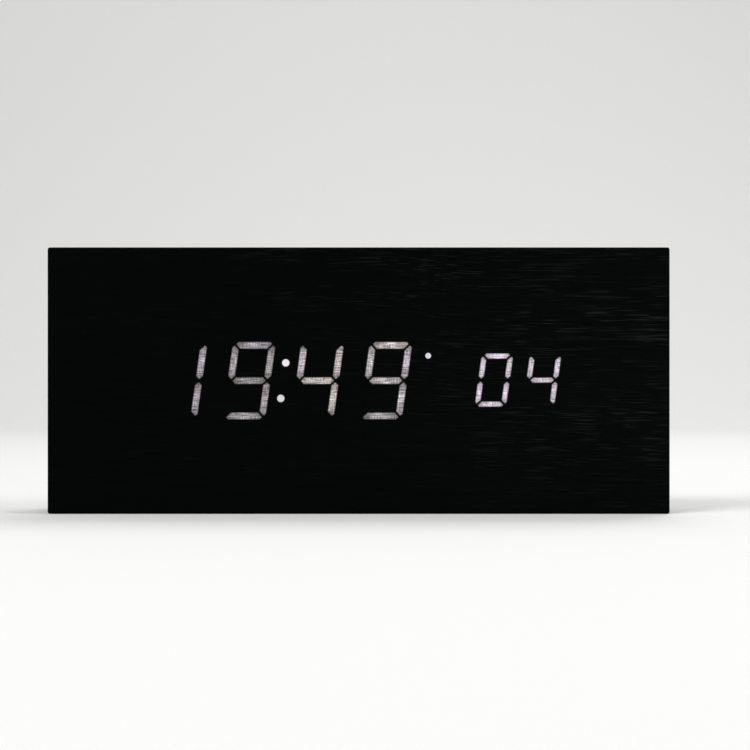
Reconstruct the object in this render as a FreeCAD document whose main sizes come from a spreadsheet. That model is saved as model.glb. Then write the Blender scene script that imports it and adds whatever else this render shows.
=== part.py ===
"""Digital desk clock: a black wood-veneered MDF block whose LED digits shine through the front.

The block is five mitred boards under one sheet of veneer.  Behind the veneer lie a stencil, a
diffuser, a light mask and a board of LEDs.  A plastic cover closes the back.  It holds the battery
bay with its hinged door, three push buttons, a USB power socket and the control board.

Frame: X to the right as seen from the front, Y from the front to the back, Z up, millimetres.
The origin is at the centre of the underside.
"""
import FreeCAD, Part
import Sketcher

import math
import os
import re

doc = FreeCAD.newDocument("digital_clock")

# ---------------------------------------------------------------- driving dimensions
SIZES = [
    # the case
    ("case_length", 210.0, "overall X"),
    ("case_height", 90.0, "overall Z"),
    ("case_depth", 40.0, "overall Y"),
    ("board_thick", 6.0, "MDF boards"),
    ("veneer_thick", 0.5, "front veneer"),
    ("edge_round", 0.8, "radius of every outer edge"),
    ("block_side", 12.0, "square section of the glued corner blocks"),
    # the big digits, hours and minutes
    ("digit_height", 26.2, "overall"),
    ("digit_width", 14.6, "overall, before the slant"),
    ("bar_width", 2.4, "stroke of a segment"),
    ("digit_chamfer", 1.9, "cut across a digit's outer corners"),
    ("digit_pitch", 23.04, "centre to centre"),
    # the small digits
    ("small_height", 18.1, "overall"),
    ("small_width", 10.8, "overall, before the slant"),
    ("small_bar", 1.9, "stroke of a segment"),
    ("small_chamfer", 1.6, "cut across a digit's outer corners"),
    ("small_pitch", 16.25, "centre to centre"),
    ("small_lift", 0.18, "small digits above mid height"),
    ("readout_step", 36.5, "last big digit to first small digit, centre to centre"),
    # what all digits share
    ("slant_angle", 8.0, "degrees from upright"),
    ("segment_gap", 0.5, "clear gap between neighbouring segments"),
    ("colon_diameter", 2.8, "the two dots between hours and minutes"),
    ("colon_rise", 6.0, "each colon dot above or below mid height"),
    ("alarm_diameter", 2.25, "the alarm dot after the minutes"),
    ("alarm_rise", 8.4, "alarm dot above mid height"),
    ("bar_round", 0.35, "softening of a lit bar's corners"),
    ("alarm_step", 13.15, "alarm dot from the last big digit's centre"),
    # the layers behind the veneer
    ("stencil_thick", 0.25, "black segment stencil"),
    ("diffuser_thick", 0.3, "white diffuser sheet"),
    ("mask_margin", 6.0, "mask round the digits"),
    ("mask_gap", 0.2, "mask in the front board's aperture, each side"),
    ("flange_thick", 2.0, "flange of the light mask"),
    ("flange_reach", 8.0, "flange beyond the aperture"),
    ("circuit_thick", 1.6, "circuit boards"),
    ("display_reach", 2.0, "display board beyond the flange"),
    ("led_length", 2.0, "LED along its bar"),
    ("led_width", 1.0, "LED across its bar"),
    ("led_height", 0.8, "LED off the board"),
    # self-tapping screws
    ("thread_radius", 1.2, "screw shank"),
    ("thread_gap", 0.05, "pilot hole round the shank"),
    ("head_radius", 2.4, "screw head"),
    ("head_height", 1.2, "screw head"),
    ("display_screw_length", 7.6, "shank of a display screw"),
    ("cover_screw_length", 11.0, "shank of a rear cover screw"),
    ("control_screw_length", 5.0, "shank of a control board screw"),
    ("screw_inset", 4.0, "screw to the edge of a circuit board"),
    ("pilot_spare", 1.0, "pilot hole deeper than the screw"),
    # the rear cover
    ("cover_recess", 1.0, "cover face below the case's rear edge"),
    ("cover_thick", 2.5, "plate of the rear cover"),
    ("cover_gap", 0.3, "cover in the case, each side"),
    ("cover_corner", 1.5, "corner radius"),
    # the battery bay
    ("cell_radius", 5.25, "AAA cell"),
    ("cell_length", 44.5, "AAA cell with its button"),
    ("cell_pitch", 10.9, "centre to centre"),
    ("button_end", 1.0, "positive button of a cell"),
    ("button_end_radius", 1.9, "positive button of a cell"),
    ("cell_play", 0.4, "above the cells, below the door"),
    ("cell_seat", 0.15, "cells over the bay floor"),
    ("bay_inset", 67.0, "middle of the battery bay from the right end"),
    ("bay_wall", 2.0, "walls and floor of the bay"),
    ("bay_spare", 0.4, "bay higher than its cells"),
    ("contact_thick", 0.4, "contact plates"),
    ("contact_width", 8.0, "contact plates along Y"),
    ("contact_play", 0.05, "between a cell and its contacts"),
    ("bump_height", 0.8, "raised dimple of a positive contact"),
    ("bump_radius", 2.2, "raised dimple of a positive contact"),
    ("spring_length", 5.8, "compressed negative spring"),
    ("spring_radius", 3.0, "coil radius of the springs"),
    ("spring_wire", 0.35, "wire radius of the springs"),
    ("lug_reach", 2.6, "solder lug beyond the bay wall"),
    # the battery door
    ("door_thick", 1.9, "door plate"),
    ("door_gap", 0.3, "door in its opening, each side"),
    ("door_ledge", 1.2, "rim that the door rests on"),
    ("door_seat", 0.1, "door over the rim"),
    ("tab_width", 8.0, "hooks at the door's lower edge"),
    ("tab_reach", 1.5, "hooks beyond the door"),
    ("tab_thick", 1.0, "hooks"),
    ("tab_spread", 30.0, "between the hooks' centres"),
    ("latch_width", 12.0, "snap tongue at the door's upper edge"),
    ("latch_length", 9.0, "snap tongue"),
    ("latch_slit", 0.9, "slits beside the tongue"),
    ("scoop_radius", 9.0, "finger scoop over the tongue"),
    ("scoop_depth", 1.2, "finger scoop"),
    # the control board and what it carries
    ("control_inset", 50.0, "middle of the control board from the left end"),
    ("control_rise", 43.0, "Z of the control board"),
    ("control_length", 56.0, "along X"),
    ("control_height", 48.0, "along Z"),
    ("control_gap", 5.9, "board to cover"),
    ("boss_radius", 3.0, "bosses that carry the control board"),
    ("button_pitch", 14.0, "button centres"),
    ("button_rise", 56.0, "Z of the buttons"),
    ("button_radius", 4.0, "button caps"),
    ("button_gap", 0.25, "cap in its hole, all round"),
    ("button_proud", 0.6, "cap above the cover"),
    ("button_flange", 1.0, "flange thickness and reach"),
    ("flange_play", 0.1, "flange below the cover"),
    ("switch_side", 6.0, "square body of a tact switch"),
    ("switch_height", 3.5, "tact switch body"),
    ("plunger_radius", 1.7, "tact switch plunger"),
    ("plunger_gap", 0.1, "plunger in its switch, all round"),
    ("plunger_proud", 0.9, "plunger above the switch"),
    ("usb_step", 7.0, "X of the socket from the control board's middle"),
    ("usb_rise", 29.0, "Z of the USB socket"),
    ("usb_width", 7.5, "USB shell along X"),
    ("usb_height", 2.7, "USB shell along Z"),
    ("usb_wall", 0.3, "USB shell"),
    ("usb_gap", 0.35, "USB shell in the cover, each side"),
    ("usb_recess", 0.3, "USB mouth below the cover's face"),
    ("buzzer_step", -15.0, "X of the buzzer from the control board's middle"),
    ("buzzer_rise", 35.0, "Z of the buzzer"),
    ("buzzer_radius", 6.0, "alarm buzzer"),
    ("buzzer_height", 5.3, "alarm buzzer"),
    ("sound_hole", 0.8, "radius of a sound hole"),
    ("sound_ring", 3.4, "ring of sound holes"),
    ("mic_step", 21.0, "X of the microphone from the control board's middle"),
    ("mic_rise", 42.0, "Z of the microphone"),
    ("mic_radius", 3.0, "microphone capsule"),
    ("mic_height", 4.6, "microphone capsule"),
    ("vent_width", 1.2, "slots over the temperature probe"),
    ("vent_length", 7.0, "slots over the temperature probe"),
    ("vent_pitch", 3.0, "slots over the temperature probe"),
    ("probe_step", 19.0, "X of the temperature probe from the control board's middle"),
    ("probe_rise", 30.0, "Z of the temperature probe"),
    ("probe_radius", 1.3, "bead of the temperature probe"),
    ("wire_radius", 0.6, "battery leads"),
    ("ribbon_width", 12.0, "ribbon cable along Z"),
    ("ribbon_thick", 0.9, "ribbon cable"),
    ("ribbon_stub", 0.4, "straight end of the ribbon cable at each header"),
    ("header_height", 5.5, "ribbon headers"),
    ("header_depth", 6.0, "ribbon headers along X"),
    ("rib_length", 30.0, "low ribs between the cells"),
    ("rib_width", 1.6, "low ribs between the cells"),
    ("rib_rise", 1.8, "low ribs between the cells"),
    ("tab_play", 0.5, "round the door's hooks in their slots"),
    ("slot_depth", 4.0, "floor of the hooks' slots under the cover's face"),
    ("lip_thick", 0.65, "lip of the cover over the hooks"),
    ("ridge_rise", 0.4, "thumb ridges on the door's tongue"),
    ("ridge_width", 0.8, "thumb ridges on the door's tongue"),
    ("ridge_pitch", 2.0, "thumb ridges on the door's tongue"),
    ("lug_width", 2.0, "solder tails"),
    ("lug_gap", 0.15, "round the solder tails"),
    ("lug_rise", 1.2, "solder tails above the bay's floor"),
    ("spring_turns", 3.5, "turns of a minus spring"),
    ("head_sink", 0.1, "cover screws' heads under the cover's face"),
    ("lead_inset", 3.0, "battery leads from the control board's right edge"),
    ("lead_spread", 10.0, "between the battery leads at the control board"),
    ("lead_stand", 6.0, "straight end of a battery lead"),
    ("stem_gap", 0.05, "between a button's stem and the plunger"),
    ("mark_size", 1.6, "sign on a button"),
    ("mark_rise", 0.25, "sign on a button"),
    ("well_floor", 0.8, "floor of a switch's well"),
    ("plunger_rest", 0.7, "plunger above the well's floor"),
    ("usb_base", 1.5, "insulator in the socket's foot"),
    ("usb_lip", 0.6, "tongue below the socket's mouth"),
    ("port_depth", 0.8, "openings of the buzzer and the microphone"),
    ("probe_leg", 0.25, "radius of the probe's legs"),
    ("probe_stand", 3.6, "bead above the control board"),
    ("ribbon_display_step", 15.0, "X of the display board's header from the control board's middle"),
    ("ribbon_control_step", -7.0, "X of the control board's header from that board's middle"),
    ("header_rim", 1.0, "header beyond the ribbon at each end"),
    ("chip_centre", 20.0, "X of the clock chip"),
    ("chip_length", 18.0, "clock chip"),
    ("chip_height", 7.5, "clock chip"),
    ("chip_thick", 2.3, "clock chip"),
    ("driver_rise", 14.0, "driver chips above mid height"),
    ("driver_pitch", 16.0, "between the driver chips"),
    ("driver_length", 10.0, "driver chips"),
    ("driver_height", 4.0, "driver chips"),
    ("driver_thick", 1.6, "driver chips"),
    ("capacitor_centre", 54.0, "X of the middle capacitor"),
    ("capacitor_radius", 2.5, "capacitors"),
    ("capacitor_height", 5.4, "capacitors"),
    ("resistor_drop", 14.0, "resistors below mid height"),
    ("resistor_length", 1.6, "resistors"),
    ("resistor_width", 0.8, "resistors"),
    ("resistor_thick", 0.5, "resistors"),
    ("crystal_radius", 1.0, "watch crystal"),
    ("crystal_length", 6.0, "watch crystal"),
]
sheet = doc.addObject("Spreadsheet::Sheet", "Sizes")
for row, (alias, value, note) in enumerate(SIZES, 1):
    sheet.set(f"A{row}", alias)
    sheet.set(f"B{row}", str(value))
    sheet.setAlias(f"B{row}", alias)
    sheet.set(f"C{row}", note)
doc.recompute()


class Values:
    """The sheet's numbers, read by name, for shapes that Part's own functions make."""

    def __getattr__(self, alias):
        return float(sheet.get(alias))


S = Values()
CELLS = 4

# ---------------------------------------------------------------- places worked out from them
PLACES = {
    # stack of layers, front to back
    "front": "-case_depth / 2",
    "board_front": "front + veneer_thick",
    "board_back": "board_front + board_thick",
    "diffuser_front": "board_front + stencil_thick",
    "mask_front": "diffuser_front + diffuser_thick",
    "circuit_front": "board_back + flange_thick",
    "circuit_back": "circuit_front + circuit_thick",
    "cover_outer": "case_depth / 2 - cover_recess",
    "cover_inner": "cover_outer - cover_thick",
    "middle": "case_height / 2",
    # digits
    "digits_length": "digit_width / 2 + 3 * digit_pitch + readout_step + small_pitch + small_width / 2",
    "first_digit": "(digit_width - digits_length) / 2",
    "last_digit": "first_digit + 3 * digit_pitch",
    "first_small": "last_digit + readout_step",
    "slant": "tan(slant_angle * 1 deg)",
    "mask_length": "digits_length + 2 * mask_margin",
    "mask_height": "digit_height + 2 * mask_margin",
    "display_length": "mask_length + 2 * flange_reach + 2 * display_reach",
    "display_height": "mask_height + 2 * flange_reach + 2 * display_reach",
    "display_screw_x": "display_length / 2 - display_reach - screw_inset",
    "display_screw_z": "display_height / 2 - display_reach - screw_inset",
    # battery bay and door
    "bay_centre": "case_length / 2 - bay_inset",
    "bay_length": "2 * contact_thick + bump_height + cell_length + spring_length + 2 * contact_play",
    "bay_height": "4 * cell_pitch + bay_spare",
    "door_under": "cover_outer - door_thick",
    "ledge": "door_under - door_seat",
    "cell_line": "door_under - cell_play - cell_radius",
    "bay_floor": "cell_line - cell_radius - cell_seat",
    "bay_bottom": "bay_floor - bay_wall",
    "opening_length": "bay_length + 2 * door_ledge",
    "opening_height": "bay_height + 2 * door_ledge",
    "opening_low": "middle - opening_height / 2",
    "opening_high": "middle + opening_height / 2",
    "door_low": "opening_low + door_gap",
    "door_high": "opening_high - door_gap",
    "hinge_line": "opening_low + 0.1",
    "bay_left": "bay_centre - bay_length / 2",
    "bay_right": "bay_centre + bay_length / 2",
    "bay_low": "middle - bay_height / 2",
    "plus_left": "bay_left + contact_play + contact_thick + bump_height",
    "minus_left": "bay_left + contact_play + contact_thick + spring_length",
    "tab_low": "opening_low - tab_reach",
    "tab_root": "door_low + 2 * tab_thick",
    "slot_low": "tab_low - tab_play",
    "slot_floor": "cover_outer - slot_depth",
    "slot_roof": "cover_outer - lip_thick",
    "lug_line": "bay_floor + lug_rise",
    "lug_end": "bay_left - bay_wall - lug_reach",
    # control board
    "control_centre": "control_inset - case_length / 2",
    "usb_centre": "control_centre + usb_step",
    "buzzer_centre": "control_centre + buzzer_step",
    "mic_centre": "control_centre + mic_step",
    "probe_centre": "control_centre + probe_step",
    "ribbon_display": "control_centre + ribbon_display_step",
    "ribbon_control": "control_centre + ribbon_control_step",
    "control_face": "cover_inner - control_gap",
    "control_under": "control_face - circuit_thick",
    "control_screw_x": "control_length / 2 - screw_inset",
    "control_screw_z": "control_height / 2 - screw_inset",
    "plunger_top": "control_face + switch_height + plunger_proud",
    "cover_screw_x": "case_length / 2 - board_thick - block_side / 2",
    "cover_screw_z": "case_height / 2 - board_thick - block_side / 2",
    "cover_length": "case_length - 2 * board_thick - 2 * cover_gap",
    "cover_height": "case_height - 2 * board_thick - 2 * cover_gap",
    "cover_seat": "cover_outer - head_height - head_sink",
    "flange_under": "cover_inner - flange_play - button_flange",
    "plunger_foot": "control_face + well_floor + plunger_rest",
    "usb_mouth": "cover_outer - usb_recess",
    "lead_end": "control_centre + control_length / 2 - lead_inset",
}
places = doc.addObject("App::FeaturePython", "Places")
for name in PLACES:
    places.addProperty("App::PropertyFloat", name, "Derived", "worked out from the sheet")
OWNERS = {alias: "Sizes" for alias, _, _ in SIZES}
OWNERS.update({name: "Places" for name in PLACES})


def full(expression):
    """The expression with every size and place given its owner, as FreeCAD wants it."""
    def with_owner(match):
        name = match[0]
        return f"{OWNERS[name]}.{name}" if name in OWNERS else name

    return re.sub(r"(?<![\w.])[a-z]\w*", with_owner, str(expression))


def bind(thing, prop, expression):
    """Ties one property of a document object to the sizes and places."""
    thing.setExpression(prop, full(expression))


for name, expression in PLACES.items():
    bind(places, name, expression)
doc.recompute()


# ---------------------------------------------------------------- sketches and features
def start_body(label):
    body = doc.addObject("PartDesign::Body", label)
    body.Label = label
    return body


def new_sketch(body, name, y):
    """A sketch on the body's XZ plane, moved to depth y: its axes are X and Z."""
    sketch = body.newObject("Sketcher::SketchObject", f"{body.Name}_{name}_sketch")
    plane = next(f for f in body.Origin.OriginFeatures if f.Role == "XZ_Plane")
    sketch.AttachmentSupport = (plane, [""])
    sketch.MapMode = "FlatFace"
    bind(sketch, "AttachmentOffset.Base.z", f"-({y})")
    return sketch


def fix_point(sketch, geometry, which, rough, corner):
    """Fixes one point of a sketch at two bound coordinates."""
    for kind, start, value in zip(("DistanceX", "DistanceY"), rough, corner):
        index = sketch.addConstraint(Sketcher.Constraint(kind, geometry, which, start))
        bind(sketch, f"Constraints[{index}]", value)


def add_polygon(sketch, corners):
    """A closed outline through corners, each a pair of expressions."""
    first, count = sketch.GeometryCount, len(corners)
    turn = 2 * math.pi / count
    rough = [FreeCAD.Vector(math.cos(i * turn), math.sin(i * turn), 0) for i in range(count)]
    for i in range(count):
        sketch.addGeometry(Part.LineSegment(rough[i], rough[(i + 1) % count]))
    for i in range(count):
        sketch.addConstraint(Sketcher.Constraint("Coincident", first + i, 2, first + (i + 1) % count, 1))
    for i, corner in enumerate(corners):
        fix_point(sketch, first + i, 1, rough[i], corner)


def add_rectangle(sketch, x, z, length, height):
    """A rectangle by its centre and sides."""
    left, right = f"{x} - ({length}) / 2", f"{x} + ({length}) / 2"
    low, high = f"{z} - ({height}) / 2", f"{z} + ({height}) / 2"
    add_polygon(sketch, [(left, low), (right, low), (right, high), (left, high)])


def add_circle(sketch, x, z, radius):
    """A circle by its centre and radius."""
    index = sketch.addGeometry(Part.Circle(FreeCAD.Vector(1, 1, 0), FreeCAD.Vector(0, 0, 1), 1.0))
    fix_point(sketch, index, 3, (1.0, 1.0), (x, z))
    made = sketch.addConstraint(Sketcher.Constraint("Radius", index, 1.0))
    bind(sketch, f"Constraints[{made}]", radius)


def grow(body, kind, name, y, depth, draw):
    """Pads or pockets what draw(sketch) draws, from depth y towards the back, and checks that it did."""
    before = body.Shape.Volume if body.Tip else 0.0
    sketch = new_sketch(body, name, y)
    draw(sketch)
    feature = body.newObject(f"PartDesign::{kind}", f"{body.Name}_{name}")
    feature.Profile = sketch
    feature.Reversed = kind == "Pad"
    bind(feature, "Length", depth)
    doc.recompute()
    change = body.Shape.Volume - before
    if (change <= 0) == (kind == "Pad") or abs(change) < 1e-6:
        raise RuntimeError(f"{feature.Name} changed nothing")
    return feature


def pad(body, name, y, depth, draw):
    return grow(body, "Pad", name, y, depth, draw)


def pocket(body, name, y, depth, draw):
    return grow(body, "Pocket", name, y, depth, draw)


def dress(body, kind, name, size, wanted):
    """Fillets or chamfers the body's edges that wanted(edge) picks."""
    tip = body.Tip
    picked = [f"Edge{i}" for i, edge in enumerate(tip.Shape.Edges, 1) if wanted(edge)]
    feature = body.newObject(f"PartDesign::{kind}", f"{body.Name}_{name}")
    feature.Base = (tip, picked)
    bind(feature, "Radius" if kind == "Fillet" else "Size", size)
    doc.recompute()
    return feature


def runs_along_y(edge):
    """True for a straight edge from front to back."""
    if edge.Curve.TypeId != "Part::GeomLine":
        return False
    return abs(edge.tangentAt(edge.FirstParameter).y) > 0.999


# ---------------------------------------------------------------- primitives and booleans
def block(label, x, y, z, length, depth, height):
    """A box by the middle of its front face and its three sides."""
    made = doc.addObject("Part::Box", label)
    made.Label = label
    for prop, value in (("Length", length), ("Width", depth), ("Height", height)):
        bind(made, prop, value)
    bind(made, "Placement.Base.x", f"{x} - ({length}) / 2")
    bind(made, "Placement.Base.y", y)
    bind(made, "Placement.Base.z", f"{z} - ({height}) / 2")
    return made


def rod(label, x, y, z, radius, depth):
    """A cylinder that runs from depth y towards the back."""
    made = doc.addObject("Part::Cylinder", label)
    made.Label = label
    made.Placement.Rotation = FreeCAD.Rotation(FreeCAD.Vector(1, 0, 0), -90)
    bind(made, "Radius", radius)
    bind(made, "Height", depth)
    for axis, value in zip("xyz", (x, y, z)):
        bind(made, f"Placement.Base.{axis}", value)
    return made


def rod_x(label, x, y, z, radius, length):
    """A cylinder that runs from x towards the right."""
    made = doc.addObject("Part::Cylinder", label)
    made.Label = label
    made.Placement.Rotation = FreeCAD.Rotation(FreeCAD.Vector(0, 1, 0), 90)
    bind(made, "Radius", radius)
    bind(made, "Height", length)
    for axis, value in zip("xyz", (x, y, z)):
        bind(made, f"Placement.Base.{axis}", value)
    return made


def combine(kind, label, *pieces):
    """A Part boolean or compound of the pieces: Cut takes the rest from the first."""
    if kind in ("Cut", "Common"):
        made = doc.addObject(f"Part::{kind}", label)
        made.Base = pieces[0]
        made.Tool = pieces[1] if len(pieces) == 2 else combine("MultiFuse", f"{label}_tools", *pieces[1:])
    else:
        made = doc.addObject(f"Part::{kind}", label)
        setattr(made, "Links" if kind == "Compound" else "Shapes", list(pieces))
    made.Label = label
    return made


def feature_of(label, shape):
    """A Part::Feature round a shape made with Part's own functions."""
    made = doc.addObject("Part::Feature", label)
    made.Label = label
    made.Shape = shape
    made.Placement = FreeCAD.Placement()
    return made


def vector(x, y, z):
    return FreeCAD.Vector(x, y, z)


nodes = []


def keep(*made):
    """Marks finished sub-parts: each is written to a file named by its label."""
    nodes.extend(made)
    return made[0]


# ---------------------------------------------------------------- seven-segment digits
def segment_outlines(width, height, bar, chamfer, gap):
    """The seven segments of a digit, as corners from its centre, before the slant.

    Neighbours part along the diagonals through the points where their centrelines cross, and the
    digit's outer corners are cut off.
    """
    side, top, half = (width - bar) / 2, (height - bar) / 2, bar / 2
    part = gap / math.sqrt(2)
    out = bar - chamfer
    upper_bar = [
        (side - half - part, top - half),
        (side + (out - part) / 2, top + (out + part) / 2),
        (side + out - half, top + half),
    ]
    upper_bar += [(-x, z) for x, z in reversed(upper_bar)]
    middle_bar = [(side - part, 0), (side - part - half, half), (part + half - side, half)]
    middle_bar += [(-x, -z) for x, z in middle_bar]
    upper_right = [
        (side, part),
        (side + half, part + half),
        (side + half, top + out - half),
        (side + (out + part) / 2, top + (out - part) / 2),
        (side - half, top - half - part),
        (side - half, part + half),
    ]

    def flipped(corners, x_sign, z_sign):
        return [(x * x_sign, z * z_sign) for x, z in corners]

    return {
        "a": upper_bar,
        "b": upper_right,
        "c": flipped(upper_right, 1, -1),
        "d": flipped(upper_bar, 1, -1),
        "e": flipped(upper_right, -1, -1),
        "f": flipped(upper_right, -1, 1),
        "g": middle_bar,
    }


SHOWN = {"0": "abcdef", "1": "bc", "4": "bcfg", "9": "abcdfg"}
BIG_DIGITS, SMALL_DIGITS = "1949", "04"


def digit_places():
    """Each digit: its sign, X of its centre, and its outlines."""
    big = segment_outlines(S.digit_width, S.digit_height, S.bar_width, S.digit_chamfer, S.segment_gap)
    small = segment_outlines(S.small_width, S.small_height, S.small_bar, S.small_chamfer, S.segment_gap)
    for letter, corners in small.items():
        small[letter] = [(x, z + S.small_lift) for x, z in corners]
    for i, sign in enumerate(BIG_DIGITS):
        yield sign, places.first_digit + i * S.digit_pitch, big
    for i, sign in enumerate(SMALL_DIGITS):
        yield sign, places.first_small + i * S.small_pitch, small


def dot_places():
    """Each dot: X and Z from mid height, and radius.  The dots lean with the digits."""
    between = places.first_digit + 1.5 * S.digit_pitch
    for rise in (S.colon_rise, -S.colon_rise):
        yield between + rise * places.slant, rise, S.colon_diameter / 2
    alarm = places.last_digit + S.alarm_step + S.alarm_rise * places.slant
    yield alarm, S.alarm_rise, S.alarm_diameter / 2


def prism(centre, corners, y, depth):
    """A slanted segment as a solid from depth y towards the back."""
    wire = [vector(centre + x + z * places.slant, y, places.middle + z) for x, z in corners]
    return Part.Face(Part.makePolygon(wire + wire[:1])).extrude(vector(0, depth, 0))


def dot(x, rise, radius, y, depth):
    return Part.makeCylinder(radius, depth, vector(x, y, places.middle + rise), vector(0, 1, 0))


def windows(y, depth):
    """A solid for every segment and dot, lit or not."""
    made = [
        prism(centre, corners, y, depth)
        for _, centre, outlines in digit_places()
        for corners in outlines.values()
    ]
    return made + [dot(*where, y, depth) for where in dot_places()]


def lit_bar(centre, corners):
    """A lit segment through the veneer, its corners softened."""
    bar = prism(centre, corners, places.front, S.veneer_thick)
    upright = [edge for edge in bar.Edges if edge.BoundBox.YLength > S.veneer_thick / 2]
    return bar.makeFillet(S.bar_round, upright)


def lit_digits(small):
    """The lit segments of the big or the small digits, through the veneer."""
    return [
        lit_bar(centre, outlines[letter])
        for i, (sign, centre, outlines) in enumerate(digit_places())
        if (i >= len(BIG_DIGITS)) == small
        for letter in SHOWN[sign]
    ]


def lit_dots():
    return [dot(*where, places.front, S.veneer_thick) for where in dot_places()]


def lit_shapes():
    return lit_digits(small=False) + lit_digits(small=True) + lit_dots()


def lit_nodes():
    """The areas of veneer that glow, flush with its face."""
    keep(
        feature_of("lit_time_digits", Part.makeCompound(lit_digits(small=False))),
        feature_of("lit_small_digits", Part.makeCompound(lit_digits(small=True))),
        feature_of("lit_dots", Part.makeCompound(lit_dots())),
    )


# ---------------------------------------------------------------- screws
def corners_of(x, z, centre_x=0.0, centre_z=0.0):
    """The four corners of a rectangle by its half sides."""
    return [(centre_x + sx * x, centre_z + sz * z) for sx in (-1, 1) for sz in (-1, 1)]


def screw(x, y, z, length, way):
    """A self-tapping screw with a cross recess.  y is under its head, and way is +1 or -1 along Y."""
    along = vector(0, way, 0)
    tip = 2 * S.thread_radius
    shank = Part.makeCylinder(S.thread_radius, length - tip, vector(x, y, z), along)
    taper = vector(x, y + way * (length - tip), z)
    point = Part.makeCone(S.thread_radius, S.thread_radius / 3, tip, taper, along)
    head = Part.makeCylinder(S.head_radius, S.head_height, vector(x, y, z), along * -1)
    rim = [edge for edge in head.Edges if abs(edge.BoundBox.YMin - (y - way * S.head_height)) < 1e-6]
    head = head.makeFillet(S.head_height / 3, [edge for edge in rim if edge.BoundBox.YLength < 1e-6])
    made = shank.fuse([point, head]).removeSplitter()
    slot, deep = S.head_radius / 4, S.head_height / 2
    outer = y - way * S.head_height
    for length_x, length_z in ((S.head_radius * 1.1, slot), (slot, S.head_radius * 1.1)):
        low = min(outer, outer + way * deep)
        arm = Part.makeBox(length_x, deep, length_z, vector(x - length_x / 2, low, z - length_z / 2))
        made = made.cut(arm)
    return made


def screws(label, spots, y, length, way):
    return keep(feature_of(label, Part.makeCompound([screw(x, y, z, length, way) for x, z in spots])))


def pilot_holes(label, spots, y, depth, way=1):
    """Plain holes for screws, from depth y along way."""
    made = [
        Part.makeCylinder(S.thread_radius + S.thread_gap, depth, vector(x, y, z), vector(0, way, 0))
        for x, z in spots
    ]
    return feature_of(label, Part.makeCompound(made))


def display_screw_spots():
    return corners_of(places.display_screw_x, places.display_screw_z, 0.0, places.middle)


def display_screw_holes():
    """Blind pilot holes in the back of the front board."""
    bite = S.display_screw_length - S.circuit_thick - S.flange_thick + S.pilot_spare
    return pilot_holes("display_pilot_holes", display_screw_spots(), places.board_back, bite, -1)


# ---------------------------------------------------------------- the case: five mitred boards and a veneer
def rounded_case():
    """The whole block with every edge rounded, which each board is cut from."""
    body = start_body("case_outline")
    pad(
        body, "block", "front", "case_depth",
        lambda sketch: add_rectangle(sketch, "0", "middle", "case_length", "case_height"),
    )
    dress(body, "Fillet", "edges", "edge_round", lambda edge: True)
    return body


def mitred(label, outline, turn, base, spans):
    """A board: a wedge from its outer face to its smaller inner face, cut from the outline.

    turn is the rotation that takes the wedge's Y inwards; spans gives X and Z from, to, and the
    inset of each of the four sides.
    """
    wedge = doc.addObject("Part::Wedge", f"{label}_wedge")
    wedge.Placement.Rotation = turn
    for axis, value in zip("xyz", base):
        bind(wedge, f"Placement.Base.{axis}", value)
    bind(wedge, "Ymin", "0")
    bind(wedge, "Ymax", "board_thick")
    for axis, (low, high, inset_low, inset_high) in spans.items():
        bind(wedge, f"{axis}min", low)
        bind(wedge, f"{axis}max", high)
        bind(wedge, f"{axis}2min", f"{low} + {inset_low}")
        bind(wedge, f"{axis}2max", f"{high} - {inset_high}")
    return combine("Common", label, outline, wedge)


def case_boards():
    outline = rounded_case()
    half, thick = "case_length / 2", "board_thick"
    x_axis, z_axis = vector(1, 0, 0), vector(0, 0, 1)
    across = (f"-{half}", half, thick, thick)
    upright = ("0", "case_height", thick, thick)
    keep(
        mitred(
            "case_top", outline, FreeCAD.Rotation(x_axis, -90), ("0", "0", "case_height"),
            {"X": across, "Z": ("board_front", "case_depth / 2", thick, "0")},
        ),
        mitred(
            "case_bottom", outline, FreeCAD.Rotation(x_axis, 90), ("0", "0", "0"),
            {"X": across, "Z": ("-case_depth / 2", "-board_front", "0", thick)},
        ),
        mitred(
            "case_left", outline, FreeCAD.Rotation(z_axis, -90), (f"-{half}", "0", "0"),
            {"X": ("-case_depth / 2", "-board_front", "0", thick), "Z": upright},
        ),
        mitred(
            "case_right", outline, FreeCAD.Rotation(z_axis, 90), (half, "0", "0"),
            {"X": ("board_front", "case_depth / 2", thick, "0"), "Z": upright},
        ),
    )
    front = mitred(
        "front_board_blank", outline, FreeCAD.Rotation(), ("0", "board_front", "0"),
        {"X": across, "Z": upright},
    )
    aperture = block(
        "front_aperture", "0", "board_front - 1", "middle",
        "mask_length + 2 * mask_gap", "board_thick + 2", "mask_height + 2 * mask_gap",
    )
    keep(combine("Cut", "front_board", front, aperture, display_screw_holes()))
    sheet_of_veneer = block(
        "veneer_sheet", "0", "front", "middle", "case_length", "veneer_thick", "case_height"
    )
    blank = combine("Common", "front_veneer_blank", outline, sheet_of_veneer)
    keep(combine("Cut", "front_veneer", blank, feature_of("lit_areas", Part.makeCompound(lit_shapes()))))


def corner_blocks():
    """Glued blocks in the four corners, which take the rear cover's screws."""
    depth = places.cover_inner - places.board_back
    half = S.block_side / 2
    spots = corners_of(places.cover_screw_x, places.cover_screw_z, 0.0, places.middle)
    solids = [
        Part.makeBox(S.block_side, depth, S.block_side, vector(x - half, places.board_back, z - half))
        for x, z in spots
    ]
    bite = S.cover_screw_length + S.pilot_spare
    holes = pilot_holes("cover_pilot_holes", spots, places.cover_inner - bite, bite)
    blanks = feature_of("corner_block_blanks", Part.makeCompound(solids))
    keep(combine("Cut", "corner_blocks", blanks, holes))


# ---------------------------------------------------------------- the display stack
def sheet_layer(label, y, thick, margin):
    """A plain sheet that fills the front board's aperture."""
    return block(label, "0", y, "middle", f"mask_length - {margin}", thick, f"mask_height - {margin}")


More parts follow.
